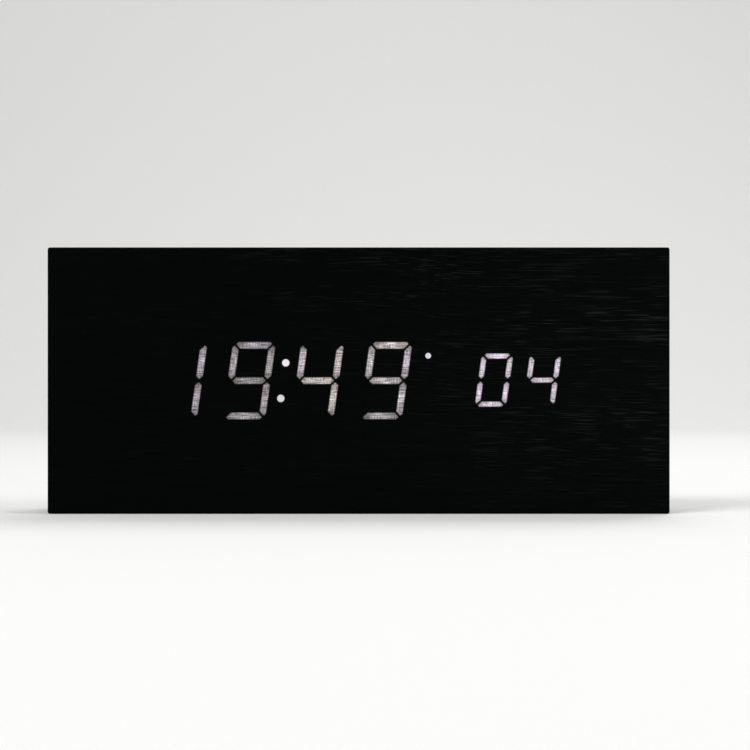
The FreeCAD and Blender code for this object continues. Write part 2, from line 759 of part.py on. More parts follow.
def display_layers():
    stencil = sheet_layer("stencil_sheet", "board_front", "stencil_thick", "0.2")
    through_film = windows(places.board_front - 1, S.stencil_thick + 2)
    openings = feature_of("stencil_windows", Part.makeCompound(through_film))
    keep(combine("Cut", "segment_stencil", stencil, openings))
    keep(sheet_layer("diffuser_sheet", "diffuser_front", "diffuser_thick", "0.2"))
    body = start_body("light_mask_blank")
    pad(
        body, "front", "mask_front", "board_back - mask_front",
        lambda sketch: add_rectangle(sketch, "0", "middle", "mask_length", "mask_height"),
    )
    pad(
        body, "flange", "board_back", "flange_thick",
        lambda sketch: add_rectangle(
            sketch, "0", "middle", "mask_length + 2 * flange_reach", "mask_height + 2 * flange_reach"
        ),
    )

    def screw_holes(sketch):
        for x_sign in ("-", ""):
            for z_sign in ("-", "+"):
                add_circle(
                    sketch, f"{x_sign}display_screw_x", f"middle {z_sign} display_screw_z",
                    "thread_radius + 3 * thread_gap",
                )

    pocket(body, "screw_holes", "board_back", "flange_thick", screw_holes)
    through_mask = windows(places.mask_front - 1, places.circuit_front - places.mask_front + 2)
    cavities = feature_of("mask_cavities", Part.makeCompound(through_mask))
    keep(combine("Cut", "light_mask", body, cavities))
    circuit = start_body("display_board")
    pad(
        circuit, "plate", "circuit_front", "circuit_thick",
        lambda sketch: add_rectangle(sketch, "0", "middle", "display_length", "display_height"),
    )
    dress(circuit, "Fillet", "corners", "2 * circuit_thick", runs_along_y)
    pocket(circuit, "screw_holes", "circuit_front", "circuit_thick", screw_holes)
    keep(circuit)
    screws("display_screws", display_screw_spots(), places.circuit_back, S.display_screw_length, -1)


def led(x, z, length, height):
    """A surface-mounted lamp on the front of the display board."""
    corner = vector(x - length / 2, places.circuit_front - S.led_height, places.middle + z - height / 2)
    return Part.makeBox(length, S.led_height, height, corner)


def segment_leds(small):
    """Lamps behind every segment: two in a big one, one in a small one."""
    made = []
    for i, (_, centre, outlines) in enumerate(digit_places()):
        if (i >= len(BIG_DIGITS)) != small:
            continue
        for corners in outlines.values():
            xs, zs = zip(*corners)
            x, z = (min(xs) + max(xs)) / 2, (min(zs) + max(zs)) / 2
            level = max(xs) - min(xs) > max(zs) - min(zs)
            long_side = max(max(xs) - min(xs), max(zs) - min(zs))
            size = (S.led_length, S.led_width) if level else (S.led_width, S.led_length)
            for step in [0.0] if small else [-long_side / 4, long_side / 4]:
                spot_x, spot_z = (x + step, z) if level else (x, z + step)
                made.append(led(centre + spot_x + spot_z * places.slant, spot_z, *size))
    return made


def display_leds():
    dots = [led(x, rise, S.led_width, S.led_width) for x, rise, _ in dot_places()]
    keep(
        feature_of("display_leds_time", Part.makeCompound(segment_leds(small=False))),
        feature_of("display_leds_small", Part.makeCompound(segment_leds(small=True))),
        feature_of("display_leds_dots", Part.makeCompound(dots)),
    )


def in_row(label, kind, count, x, z, pitch, sizes):
    """Equal parts in a row on the back of the display board; sizes are expressions."""
    made = []
    for i in range(count):
        spot = f"{x} + {i - (count - 1) / 2} * ({pitch})"
        if kind == "block":
            made.append(block(f"{label}_{i + 1}", spot, "circuit_back", z, *sizes))
        else:
            made.append(rod(f"{label}_{i + 1}", spot, "circuit_back", z, *sizes))
    return keep(made[0] if count == 1 else combine("Compound", label, *made))


def display_parts():
    """What is soldered to the back of the display board."""
    keep(block(
        "clock_chip", "chip_centre", "circuit_back", "middle", "chip_length", "chip_thick", "chip_height",
    ))
    in_row(
        "driver_chips", "block", 2, "chip_centre", "middle + driver_rise", "driver_pitch",
        ("driver_length", "driver_thick", "driver_height"),
    )
    in_row(
        "board_capacitors", "rod", 3, "capacitor_centre", "middle + driver_rise", "3 * capacitor_radius",
        ("capacitor_radius", "capacitor_height"),
    )
    in_row(
        "chip_resistors", "block", 14, "chip_centre", "middle - resistor_drop", "2 * resistor_length",
        ("resistor_length", "resistor_thick", "resistor_width"),
    )
    keep(rod_x(
        "watch_crystal", "chip_centre + chip_length / 2 + 2", "circuit_back + crystal_radius", "middle",
        "crystal_radius", "crystal_length",
    ))


# ---------------------------------------------------------------- rear cover
def cell_z(i):
    """Z of the axis of a cell, counted from 0 at the bottom."""
    return f"middle + {i - (CELLS - 1) / 2} * cell_pitch"


def button_x(i):
    return f"control_centre + {i - 1} * button_pitch"


def control_screw_spots():
    return corners_of(places.control_screw_x, places.control_screw_z, places.control_centre, S.control_rise)


def cover_screw_spots():
    return corners_of(places.cover_screw_x, places.cover_screw_z, 0.0, places.middle)


def four_circles(x, z, half_x, half_z, radius):
    """A sketch drawing of a circle at each corner of a rectangle."""

    def draw(sketch):
        for x_sign in "-+":
            for z_sign in "-+":
                add_circle(sketch, f"{x} {x_sign} {half_x}", f"{z} {z_sign} {half_z}", radius)

    return draw


def rectangle(x, z, length, height):
    return lambda sketch: add_rectangle(sketch, x, z, length, height)


def circles(spots, radius):
    def draw(sketch):
        for x, z in spots:
            add_circle(sketch, x, z, radius)

    return draw


def rectangles(spots, length, height):
    def draw(sketch):
        for x, z in spots:
            add_rectangle(sketch, x, z, length, height)

    return draw


def rear_cover():
    body = start_body("rear_cover")
    to_outside = "cover_outer - cover_inner"
    pad(
        body, "plate", "cover_inner", "cover_thick",
        rectangle("0", "middle", "cover_length", "cover_height"),
    )
    dress(body, "Fillet", "corners", "cover_corner", runs_along_y)
    pad(
        body, "bay", "bay_bottom", "cover_inner - bay_bottom",
        rectangle("bay_centre", "middle", "bay_length + 2 * bay_wall", "bay_height + 2 * bay_wall"),
    )
    pad(
        body, "bosses", "control_face", "control_gap",
        four_circles("control_centre", "control_rise", "control_screw_x", "control_screw_z", "boss_radius"),
    )
    pocket(
        body, "opening", "ledge", "cover_outer - ledge",
        rectangle("bay_centre", "middle", "opening_length", "opening_height"),
    )
    pocket(
        body, "cells", "bay_floor", "ledge - bay_floor",
        rectangle("bay_centre", "middle", "bay_length", "bay_height"),
    )
    ribs = [("bay_centre", f"middle + {i - 1} * cell_pitch") for i in range(CELLS - 1)]
    pad(body, "ribs", "bay_floor", "rib_rise", rectangles(ribs, "rib_length", "rib_width"))
    slots = [(f"bay_centre {sign} tab_spread / 2", "(slot_low + bay_low) / 2") for sign in "-+"]
    pocket(
        body, "tab_slots", "slot_floor", "slot_roof - slot_floor",
        rectangles(slots, "tab_width + 2 * tab_play", "bay_low - slot_low"),
    )
    lugs = [("bay_left - bay_wall / 2", cell_z(i)) for i in (0, CELLS - 1)]
    pocket(
        body, "lug_slots", "lug_line - lug_gap", "contact_thick + 2 * lug_gap",
        rectangles(lugs, "bay_wall + 2 * lug_gap", "lug_width + 2 * lug_gap"),
    )
    pocket(
        body, "finger_scoop", "cover_outer - scoop_depth", "scoop_depth",
        circles([("bay_centre", "opening_high")], "scoop_radius"),
    )
    pocket(
        body, "button_holes", "cover_inner", to_outside,
        circles([(button_x(i), "button_rise") for i in range(3)], "button_radius + button_gap"),
    )
    pocket(
        body, "usb_slot", "cover_inner", to_outside,
        rectangle("usb_centre", "usb_rise", "usb_width + 2 * usb_gap", "usb_height + 2 * usb_gap"),
    )
    holes = [("buzzer_centre", "buzzer_rise"), ("mic_centre", "mic_rise")]
    for i in range(6):
        turn = f"({60 * i} * 1 deg)"
        holes.append((
            f"buzzer_centre + sound_ring * cos{turn}", f"buzzer_rise + sound_ring * sin{turn}",
        ))
    pocket(body, "sound_holes", "cover_inner", to_outside, circles(holes, "sound_hole"))
    vents = [(f"probe_centre + {i - 1} * vent_pitch", "probe_rise") for i in range(3)]
    pocket(body, "vents", "cover_inner", to_outside, rectangles(vents, "vent_width", "vent_length"))
    corners = ("0", "middle", "cover_screw_x", "cover_screw_z")
    pocket(
        body, "screw_holes", "cover_inner", to_outside,
        four_circles(*corners, "thread_radius + 3 * thread_gap"),
    )
    pocket(
        body, "screw_recesses", "cover_seat", "cover_outer - cover_seat",
        four_circles(*corners, "head_radius + 6 * thread_gap"),
    )
    pocket(
        body, "boss_pilots", "control_face", "control_screw_length - circuit_thick + pilot_spare",
        four_circles(
            "control_centre", "control_rise", "control_screw_x", "control_screw_z",
            "thread_radius + thread_gap",
        ),
    )
    keep(body)
    screws("rear_cover_screws", cover_screw_spots(), places.cover_seat, S.cover_screw_length, -1)


# ---------------------------------------------------------------- battery door
def battery_door():
    """A flush plate hooked under the cover at its lower edge, with a sprung tongue at its upper edge."""
    body = start_body("battery_door")
    pad(
        body, "plate", "door_under", "door_thick",
        rectangle(
            "bay_centre", "(door_low + door_high) / 2", "opening_length - 2 * door_gap",
            "door_high - door_low",
        ),
    )
    dress(body, "Fillet", "corners", "cover_corner / 3", runs_along_y)
    hooks = [(f"bay_centre {sign} tab_spread / 2", "(tab_low + tab_root) / 2") for sign in "-+"]
    pad(body, "hooks", "door_under", "tab_thick", rectangles(hooks, "tab_width", "tab_root - tab_low"))
    slits = [(f"bay_centre {sign} latch_width / 2", "door_high - latch_length / 2 + 0.5") for sign in "-+"]
    pocket(body, "slits", "door_under", "door_thick", rectangles(slits, "latch_slit", "latch_length + 1"))
    ridges = [("bay_centre", f"door_high - ridge_pitch * {i + 1}") for i in range(3)]
    pad(body, "ridges", "cover_outer", "ridge_rise", rectangles(ridges, "latch_width - 4", "ridge_width"))
    keep(body)


# ---------------------------------------------------------------- cells and their contacts
def plus_at_left(i):
    """Neighbouring cells lie in opposite directions; the lowest has its plus end at the left."""
    return i % 2 == 0


def cells():
    """Four AAA cells: a can with a button at the plus end and a flat minus end."""
    for i in range(CELLS):
        name = f"aaa_cell_{i + 1}"
        can = "cell_length - button_end"
        if plus_at_left(i):
            button, start = "plus_left", "plus_left + button_end"
        else:
            button, start = f"minus_left + {can}", "minus_left"
        pieces = [
            rod_x(f"{name}_can", start, "cell_line", cell_z(i), "cell_radius", can),
            rod_x(f"{name}_button", button, "cell_line", cell_z(i), "button_end_radius", "button_end"),
        ]
        keep(combine("MultiFuse", name, *pieces))


def from_wall(right, distance):
    """X at a distance from the clearance at the right or left end wall of the bay."""
    return f"bay_right - contact_play - {distance}" if right else f"bay_left + contact_play + {distance}"


def contact_plate(label, right, low, high):
    """A flat plate against an end wall of the bay, over cells low to high."""
    rows = (low + high) / 2 - (CELLS - 1) / 2
    return block(
        label, from_wall(right, "contact_thick / 2"), "cell_line - contact_width / 2",
        f"middle + {rows} * cell_pitch",
        "contact_thick", "contact_width", f"contact_width + {high - low} * cell_pitch",
    )


def bump(label, right, i):
    """The raised middle of a plate, which meets a cell's plus end."""
    foot = from_wall(right, "(contact_thick + bump_height)" if right else "contact_thick")
    return rod_x(label, foot, "cell_line", cell_z(i), "bump_radius", "bump_height")


def lug(label, i):
    """A solder tail through the left end wall of the bay."""
    return block(
        label, "(lug_end + bay_left + contact_play + contact_thick) / 2", "lug_line", cell_z(i),
        "bay_left + contact_play + contact_thick - lug_end", "contact_thick", "lug_width",
    )


def contacts():
    last = CELLS - 1
    keep(combine(
        "MultiFuse", "terminal_positive", contact_plate("plate_positive", False, 0, 0),
        bump("bump_positive", False, 0), lug("lug_positive", 0),
    ))
    keep(combine(
        "MultiFuse", "terminal_negative", contact_plate("plate_negative", False, last, last),
        lug("lug_negative", last),
    ))
    for i in range(last):
        right = plus_at_left(i)
        name = f"cell_link_{i + 1}_{i + 2}"
        plate = contact_plate(f"{name}_plate", right, i, i + 1)
        keep(combine("MultiFuse", name, plate, bump(f"{name}_bump", right, i + 1)))
    coils = []
    for i in range(CELLS):
        at_cell = places.plus_left + S.cell_length
        at_plate = places.bay_left + S.contact_play + S.contact_thick
        start = at_cell if plus_at_left(i) else at_plate
        coils.append(coil(start, places.cell_line, places.middle + (i - last / 2) * S.cell_pitch))
    keep(feature_of("contact_springs", Part.makeCompound(coils)))


def coil(x, y, z):
    """A compressed minus spring along X, from x, in arcs of a quarter turn."""
    radius, rise = S.spring_radius - S.spring_wire, S.spring_length - 2 * S.spring_wire
    count = round(4 * S.spring_turns)

    def at(step):
        turn = step * math.pi / 2
        along = x + S.spring_wire + rise * step / count
        return vector(along, y + radius * math.cos(turn), z + radius * math.sin(turn))

    edges = [Part.Arc(at(i), at(i + 0.5), at(i + 1)).toShape() for i in range(count)]
    ring = Part.makeCircle(S.spring_wire, at(0), edges[0].tangentAt(edges[0].FirstParameter))
    return Part.Wire(edges).makePipeShell([Part.Wire(ring)], True, False)


def tube(points, radius):
    """A round bar along straight runs joined by tangent arcs."""
    edges, here = [], points[0]
    for before, corner, after in zip(points, points[1:], points[2:]):
        back, ahead = (before - corner), (after - corner)
        shorter = min(back.Length, ahead.Length)
        back.normalize()
        ahead.normalize()
        half = (math.pi - back.getAngle(ahead)) / 2
        reach = 0.45 * shorter
        bend = reach / math.tan(half)
        start, end = corner + back * reach, corner + ahead * reach
        inward = (back + ahead).normalize()
        centre = corner + inward * (bend / math.cos(half))
        edges += [Part.makeLine(here, start), Part.Arc(start, centre - inward * bend, end).toShape()]
        here = end
    edges.append(Part.makeLine(here, points[-1]))
    path = Part.Wire(edges)
    first = points[1] - points[0]
    ring = Part.Wire(Part.makeCircle(radius, points[0], first))
    return path.makePipeShell([ring], True, False)


def battery_leads():
    """From the two solder tails to the front of the control board."""
    far = CELLS - 1
    for label, i, side in (("battery_lead_red", 0, -1), ("battery_lead_black", far, 1)):
        row = places.middle + (i - far / 2) * S.cell_pitch
        start = vector(places.lug_end, places.lug_line + S.contact_thick / 2, row)
        end = vector(places.lead_end, places.control_under, S.control_rise + side * S.lead_spread / 2)
        span, drop, stand = start.x - end.x, end.z - start.z, S.lead_stand
        points = [
            start,
            start + vector(-0.15 * span, 0, 0),
            start + vector(-0.32 * span, -0.3 * stand, 0.12 * drop),
            start + vector(-0.48 * span, -0.85 * stand, 0.42 * drop),
            start + vector(-0.62 * span, -1.45 * stand, 0.76 * drop),
            end + vector(0.25 * span, -1.98 * stand, -0.07 * drop),
            end + vector(0.1 * span, -1.75 * stand, 0),
            end + vector(0, -stand, 0),
            end,
        ]
        keep(feature_of(label, tube(points, S.wire_radius)))


# ---------------------------------------------------------------- control board
BUTTONS = ("set", "up", "down")


def control_board():
    body = start_body("control_board")
    pad(
        body, "plate", "control_under", "circuit_thick",
        rectangle("control_centre", "control_rise", "control_length", "control_height"),
    )
    dress(body, "Fillet", "corners", "circuit_thick", runs_along_y)
    pocket(
        body, "screw_holes", "control_under", "circuit_thick",
        four_circles(
            "control_centre", "control_rise", "control_screw_x", "control_screw_z",
            "thread_radius + 3 * thread_gap",
        ),
    )
    keep(body)
    screws("control_board_screws", control_screw_spots(), places.control_under, S.control_screw_length, 1)


def mark(sketch, kind, x):
    """The raised sign on a button: a dot to set, an arrowhead up or down."""
    if kind == "set":
        add_circle(sketch, x, "button_rise", "mark_size / 2")
        return
    tip, base = ("+", "-") if kind == "up" else ("-", "+")
    add_polygon(sketch, [
        (f"{x} - mark_size", f"button_rise {base} mark_size * 0.6"),
        (f"{x} + mark_size", f"button_rise {base} mark_size * 0.6"),
        (x, f"button_rise {tip} mark_size * 0.8"),
    ])


def buttons():
    """Each button: a flanged cap through the cover, over a switch with a plunger of its own."""
    for i, kind in enumerate(BUTTONS):
        x = button_x(i)
        spot = [(x, "button_rise")]
        cap = start_body(f"button_{kind}")
        pad(
            cap, "stem", "plunger_top + stem_gap", "flange_under - plunger_top - stem_gap",
            circles(spot, "plunger_radius"),
        )
        pad(cap, "flange", "flange_under", "button_flange", circles(spot, "button_radius + button_flange"))
        pad(
            cap, "cap", "flange_under + button_flange",
            "cover_outer + button_proud - flange_under - button_flange",
            circles(spot, "button_radius"),
        )
        top = places.cover_outer + S.button_proud
        dress(cap, "Fillet", "rim", "button_proud / 2", lambda edge: abs(edge.BoundBox.YMin - top) < 1e-6)
        pad(cap, "mark", "cover_outer + button_proud", "mark_rise", lambda sketch: mark(sketch, kind, x))
        keep(cap)
        switch = start_body(f"tact_switch_{kind}")
        pad(
            switch, "housing", "control_face", "switch_height",
            rectangle(x, "button_rise", "switch_side", "switch_side"),
        )
        pocket(
            switch, "well", "control_face + well_floor", "switch_height - well_floor",
            circles(spot, "plunger_radius + plunger_gap"),
        )
        keep(switch)
        keep(rod(
            f"switch_plunger_{kind}", x, "plunger_foot", "button_rise", "plunger_radius",
            "plunger_top - plunger_foot",
        ))


def usb_outline(shrink):
    """A micro-USB opening: a flat box with its two lower corners cut off."""
    half_x, half_z = f"(usb_width / 2 - {shrink})", f"(usb_height / 2 - {shrink})"
    cut = "usb_height * 0.35"
    return [
        (f"usb_centre - {half_x} + {cut}", f"usb_rise - {half_z}"),
        (f"usb_centre + {half_x} - {cut}", f"usb_rise - {half_z}"),
        (f"usb_centre + {half_x}", f"usb_rise - {half_z} + {cut}"),
        (f"usb_centre + {half_x}", f"usb_rise + {half_z}"),
        (f"usb_centre - {half_x}", f"usb_rise + {half_z}"),
        (f"usb_centre - {half_x}", f"usb_rise - {half_z} + {cut}"),
    ]


def usb_socket():
    shell = start_body("usb_socket_shell")
    tall = "usb_mouth - control_face"
    outside = lambda sketch: add_polygon(sketch, usb_outline("0"))
    inside = lambda sketch: add_polygon(sketch, usb_outline("usb_wall"))
    pad(shell, "tube", "control_face", tall, outside)
    pocket(shell, "inside", "control_face", tall, inside)
    keep(shell)
    tongue = start_body("usb_socket_tongue")
    pad(tongue, "base", "control_face", "usb_base", inside)
    pad(
        tongue, "tongue", "control_face + usb_base", "usb_mouth - usb_lip - control_face - usb_base",
        rectangle("usb_centre", "usb_rise + usb_height * 0.15", "usb_width / 2", "usb_height / 5"),
    )
    keep(tongue)


def control_parts():
    """What else is soldered to the control board."""
    for label, x, z, radius, height, hole in (
        (
            "alarm_buzzer", "buzzer_centre", "buzzer_rise", "buzzer_radius", "buzzer_height",
            "buzzer_radius / 5",
        ),
        ("sound_microphone", "mic_centre", "mic_rise", "mic_radius", "mic_height", "mic_radius / 4"),
    ):
        body = start_body(label)
        pad(body, "can", "control_face", height, circles([(x, z)], radius))
        mouth = f"control_face + {height} - port_depth"
        pocket(body, "mouth", mouth, "port_depth", circles([(x, z)], hole))
        keep(body)
    legs = [
        rod(
            f"probe_leg_{side}", f"probe_centre {sign} probe_radius / 2", "control_face", "probe_rise",
            "probe_leg", "probe_stand",
        )
        for side, sign in (("left", "-"), ("right", "+"))
    ]
    bead = doc.addObject("Part::Sphere", "probe_bead")
    bead.Label = "probe_bead"
    bind(bead, "Radius", "probe_radius")
    for axis, value in zip("xyz", ("probe_centre", "control_face + probe_stand", "probe_rise")):
        bind(bead, f"Placement.Base.{axis}", value)
    keep(combine("MultiFuse", "temperature_probe", bead, *legs))


def ribbon():
    """A flat cable from a header on the display board to one on the control board, in an S."""
    for label, x, y in (
        ("ribbon_header_display", "ribbon_display", "circuit_back"),
        ("ribbon_header_control", "ribbon_control", "control_under - header_height"),
    ):
        keep(block(
            label, x, y, "control_rise",
            "header_depth", "header_height", "ribbon_width + 2 * header_rim",
        ))
    low, high = places.circuit_back + S.header_height, places.control_under - S.header_height
    half, level = S.ribbon_thick / 2, (low + high) / 2
    inner = level - low - S.ribbon_stub - half
    outer = inner + S.ribbon_thick
    left, right = places.ribbon_control, places.ribbon_display
    z = S.control_rise - S.ribbon_width / 2
    reach = inner + half

    def slab(x_low, x_high, y_low, y_high):
        return Part.makeBox(x_high - x_low, y_high - y_low, S.ribbon_width, vector(x_low, y_low, z))

    def bend(x, y, turn):
        corner, up = vector(x, y, z), vector(0, 0, 1)
        rounds = [Part.makeCylinder(r, S.ribbon_width, corner, up, 90) for r in (outer, inner)]
        quarter = rounds[0].cut(rounds[1])
        quarter.rotate(vector(x, y, z), vector(0, 0, 1), turn)
        return quarter

    pieces = [
        slab(right - half, right + half, low, level - reach),
        bend(right - reach, level - reach, 0),
        slab(left + reach, right - reach, level - half, level + half),
        bend(left + reach, level + reach, 180),
        slab(left - half, left + half, level + reach, high),
    ]
    keep(feature_of("ribbon_cable", pieces[0].fuse(pieces[1:]).removeSplitter()))


# ---------------------------------------------------------------- build, check and write
def build():
    case_boards()
    lit_nodes()
    corner_blocks()
    display_layers()
    display_leds()
    display_parts()
    rear_cover()
    battery_door()
    cells()
    contacts()
    battery_leads()
    control_board()
    buttons()
    usb_socket()
    control_parts()
    ribbon()
    doc.recompute()


def check_and_write():
    """Stops on any failed object or broken shape; otherwise writes one STEP file per sub-part."""
    for thing in doc.Objects:
        if {"Invalid", "Error"} & set(thing.State):
            raise RuntimeError(f"{thing.Label} failed: {thing.State}")
    for node in nodes:
        if node.Shape.isNull() or not node.Shape.isValid() or not node.Shape.Solids:
            raise RuntimeError(f"{node.Label} has no sound solid")
    os.makedirs("parts", exist_ok=True)
    for node in nodes:
        node.Shape.exportStep(f"parts/{node.Label}.step")
        print(f"{node.Label}: {len(node.Shape.Solids)} solid(s), {node.Shape.Volume:.1f} mm3")


build()
check_and_write()
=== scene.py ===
"""A wood-block digital clock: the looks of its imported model."""

import math
import random

import bmesh
import bpy
from mathutils import Matrix, Vector


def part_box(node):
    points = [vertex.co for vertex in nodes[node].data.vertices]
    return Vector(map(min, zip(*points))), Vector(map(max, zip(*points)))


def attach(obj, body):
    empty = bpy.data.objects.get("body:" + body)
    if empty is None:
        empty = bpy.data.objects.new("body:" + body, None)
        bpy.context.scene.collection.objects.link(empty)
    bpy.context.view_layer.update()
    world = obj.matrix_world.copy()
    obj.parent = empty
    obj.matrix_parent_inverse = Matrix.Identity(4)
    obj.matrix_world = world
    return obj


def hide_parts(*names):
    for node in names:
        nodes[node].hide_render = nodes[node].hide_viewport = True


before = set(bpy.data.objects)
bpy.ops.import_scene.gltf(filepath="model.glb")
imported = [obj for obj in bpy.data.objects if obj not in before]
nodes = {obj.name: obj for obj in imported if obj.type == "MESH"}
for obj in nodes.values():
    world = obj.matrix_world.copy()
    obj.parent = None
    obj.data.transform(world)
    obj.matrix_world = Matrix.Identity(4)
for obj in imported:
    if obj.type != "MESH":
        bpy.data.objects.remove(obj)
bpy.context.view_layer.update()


# ---------------------------------------------------------------- the room
# A pale sweep of card that curves up behind the clock, three soft lamps and a pale sky.  The camera
# stands square to the clock's face, near the height of its middle.
CAMERA_AWAY = 0.82
CAMERA_ASIDE = 0.00552
CAMERA_UP = 0.04690
FACE_AHEAD = 0.02
VIEW_WIDTH = 0.2530
SWEEP_HALF_WIDTH = 3.0
SWEEP_FRONT = -3.0
SWEEP_BACK = 1.2
SWEEP_CURVE = 0.6
SWEEP_TOP = 3.0
SWEEP_STEPS = 16
CARD_WHITE = (0.80, 0.80, 0.79)
LAMP_AIM = Vector((0.0, 0.0, 0.05))
LAMP_SIDE = 0.9
SKY_STRENGTH = 0.35


def material(name, colour, roughness, metallic=0.0):
    """A material with one Principled shader, and that shader."""
    made = bpy.data.materials.new(name)
    made.use_nodes = True
    shader = made.node_tree.nodes["Principled BSDF"]
    shader.inputs["Base Color"].default_value = (*colour, 1.0)
    shader.inputs["Roughness"].default_value = roughness
    shader.inputs["Metallic"].default_value = metallic
    return made, shader


def piece_from(bm, name, finish):
    """Makes a mesh object of a bmesh, in one finish."""
    mesh = bpy.data.meshes.new(name)
    bm.to_mesh(mesh)
    bm.free()
    mesh.materials.append(finish)
    made = bpy.data.objects.new(name, mesh)
    bpy.context.scene.collection.objects.link(made)
    return made


def corners_in(grown):
    """The corners among the parts that an operator gives back."""
    return [part for part in grown if isinstance(part, bmesh.types.BMVert)]


def sweep_card():
    """The floor's front edge is pushed back, then up along a quarter curve, then up again."""
    bm = bmesh.new()
    left = bm.verts.new((-SWEEP_HALF_WIDTH, SWEEP_FRONT, 0))
    right = bm.verts.new((SWEEP_HALF_WIDTH, SWEEP_FRONT, 0))
    edges = [bm.edges.new((left, right))]

    def push(offset):
        moved = corners_in(bmesh.ops.extrude_edge_only(bm, edges=edges)["geom"])
        bmesh.ops.translate(bm, verts=moved, vec=offset)
        return [bm.edges.get(moved)]

    edges = push((0, SWEEP_BACK - SWEEP_FRONT, 0))
    for i in range(SWEEP_STEPS):
        here, ahead = math.pi / 2 * i / SWEEP_STEPS, math.pi / 2 * (i + 1) / SWEEP_STEPS
        back, up = math.sin(ahead) - math.sin(here), math.cos(here) - math.cos(ahead)
        edges = push((0, SWEEP_CURVE * back, SWEEP_CURVE * up))
    push((0, 0, SWEEP_TOP - SWEEP_CURVE))
    bmesh.ops.recalc_face_normals(bm, faces=bm.faces)
    card, shader = material("white_card", CARD_WHITE, 0.9)
    made = piece_from(bm, "studio_sweep", card)
    for face in made.data.polygons:
        face.use_smooth = True
    return made


sweep_card()


def soft_lamp(name, where, power):
    """A square lamp, turned towards the middle of the clock."""
    lamp = bpy.data.lights.new(name, "AREA")
    lamp.shape = "SQUARE"
    lamp.size = LAMP_SIDE
    lamp.energy = power
    made = bpy.data.objects.new(name, lamp)
    made.location = where
    made.rotation_euler = (LAMP_AIM - Vector(where)).to_track_quat("-Z", "Y").to_euler()
    bpy.context.scene.collection.objects.link(made)


soft_lamp("key_lamp", (-0.9, -1.1, 1.5), 21)
soft_lamp("fill_lamp", (1.2, -0.5, 1.0), 9)
soft_lamp("back_lamp", (0.3, 0.9, 1.4), 12)

sky = bpy.data.worlds.new("pale_sky")
sky.use_nodes = True
sky_light = sky.node_tree.nodes["Background"]
sky_light.inputs["Color"].default_value = (1.0, 1.0, 1.0, 1.0)
sky_light.inputs["Strength"].default_value = SKY_STRENGTH
bpy.context.scene.world = sky
bpy.context.scene.view_settings.view_transform = "Standard"

lens = bpy.data.cameras.new("camera")
lens.sensor_width = 36.0
lens.lens = lens.sensor_width * (CAMERA_AWAY - FACE_AHEAD) / VIEW_WIDTH
camera = bpy.data.objects.new("camera", lens)
camera.location = (CAMERA_ASIDE, -CAMERA_AWAY, CAMERA_UP)
camera.rotation_euler = (math.pi / 2, 0, 0)
bpy.context.scene.collection.objects.link(camera)
bpy.context.scene.camera = camera


# ---------------------------------------------------------------- the veneered block
# Fibreboard mitred at every corner and wrapped in thin black wood veneer with its open grain running
# along the clock.  The face is one sheet; the grain of the two ends runs from front to back.
# The pale grey of the pore strokes is a painted sheen, light caught on the pore edges; their shape and depth
# are the real open pores.
GRAIN_LINES = (26.0, 1150.0, 3.1)
PORE_STROKES = (88.4, 2415.0, 11.7)
PORE_PATCHES = (17.0, 60.0, 5.3)
GRAIN_WANDER = (0.0, 0.010, 0.012)
BLACK_STAIN = (0.0009, 0.0017, 0.00135)
PORE_SHEEN_GREY = (0.0090, 0.0105, 0.0098)
STAIN_TONES = (0.45, 1.35)
VENEER_SHINE = 0.022
VENEER_ROUGH = (0.62, 0.46)
PORE_DEPTH = 0.00006
# Painted light on the face: the strokes' sheen gathers towards the upper right, and a painted lift brightens
# the black towards the lower right; the other sides have both at one even level.
PAINTED_SHEEN_SLANT = 1.1
PAINTED_SHEEN_RISE = (0.040, 0.120)
LEAST_PAINTED_SHEEN = 0.10
PAINTED_LIFT_SPAN = (-0.105, 0.045)
WRAP_SHEEN_AND_LIFT = 0.7


def feed(node, inputs):
    """Gives each named input of a node its value, or the output that feeds it."""
    for name, value in inputs.items():
        if isinstance(value, bpy.types.NodeSocket):
            node.id_data.links.new(value, node.inputs[name])
        else:
            node.inputs[name].default_value = value


def add(tree, kind, inputs, **settings):
    """A shader node of this kind, with its settings made and its inputs fed."""
    node = tree.nodes.new(f"ShaderNode{kind}")
    for name, value in settings.items():
        setattr(node, name, value)
    feed(node, inputs)
    return node


def math_node(tree, operation, *values, clamp=False):
    return add(tree, "Math", dict(enumerate(values)), operation=operation, use_clamp=clamp).outputs[0]


def ramp(tree, value, low, high, to_low=0.0, to_high=1.0):
    """The value brought from one range to another, and held inside it."""
    return add(tree, "MapRange", {
        "Value": value, "From Min": low, "From Max": high, "To Min": to_low, "To Max": to_high,
    }).outputs["Result"]


def noise(tree, vector, scale, detail=2.0, roughness=0.5):
    return add(tree, "TexNoise", {
        "Vector": vector, "Scale": scale, "Detail": detail, "Roughness": roughness,
    }).outputs["Fac"]


def blend_colours(tree, factor, first, second):
    """The first colour where the factor is 0 and the second where it is 1."""
    first, second = ((*value, 1.0) if isinstance(value, tuple) else value for value in (first, second))
    return add(tree, "Mix", {0: factor, 6: first, 7: second}, data_type="RGBA").outputs[2]


def mottled(tree, mask, colour, low, high):
    """One colour made darker or lighter by a mask."""
    tones = [tuple(min(c * share, 0.95) for c in colour) for share in (low, high)]
    return blend_colours(tree, mask, *tones)


def start_group(name, inputs, outputs):
    """A shader node group, what its input node gives, and its output node."""
    tree = bpy.data.node_groups.new(name, "ShaderNodeTree")
    for label, kind, value in inputs:
        made = tree.interface.new_socket(name=label, in_out="INPUT", socket_type=f"NodeSocket{kind}")
        if value is not None:
            made.default_value = value
    for label, kind in outputs:
        tree.interface.new_socket(name=label, in_out="OUTPUT", socket_type=f"NodeSocket{kind}")
    return tree, tree.nodes.new("NodeGroupInput").outputs, tree.nodes.new("NodeGroupOutput")


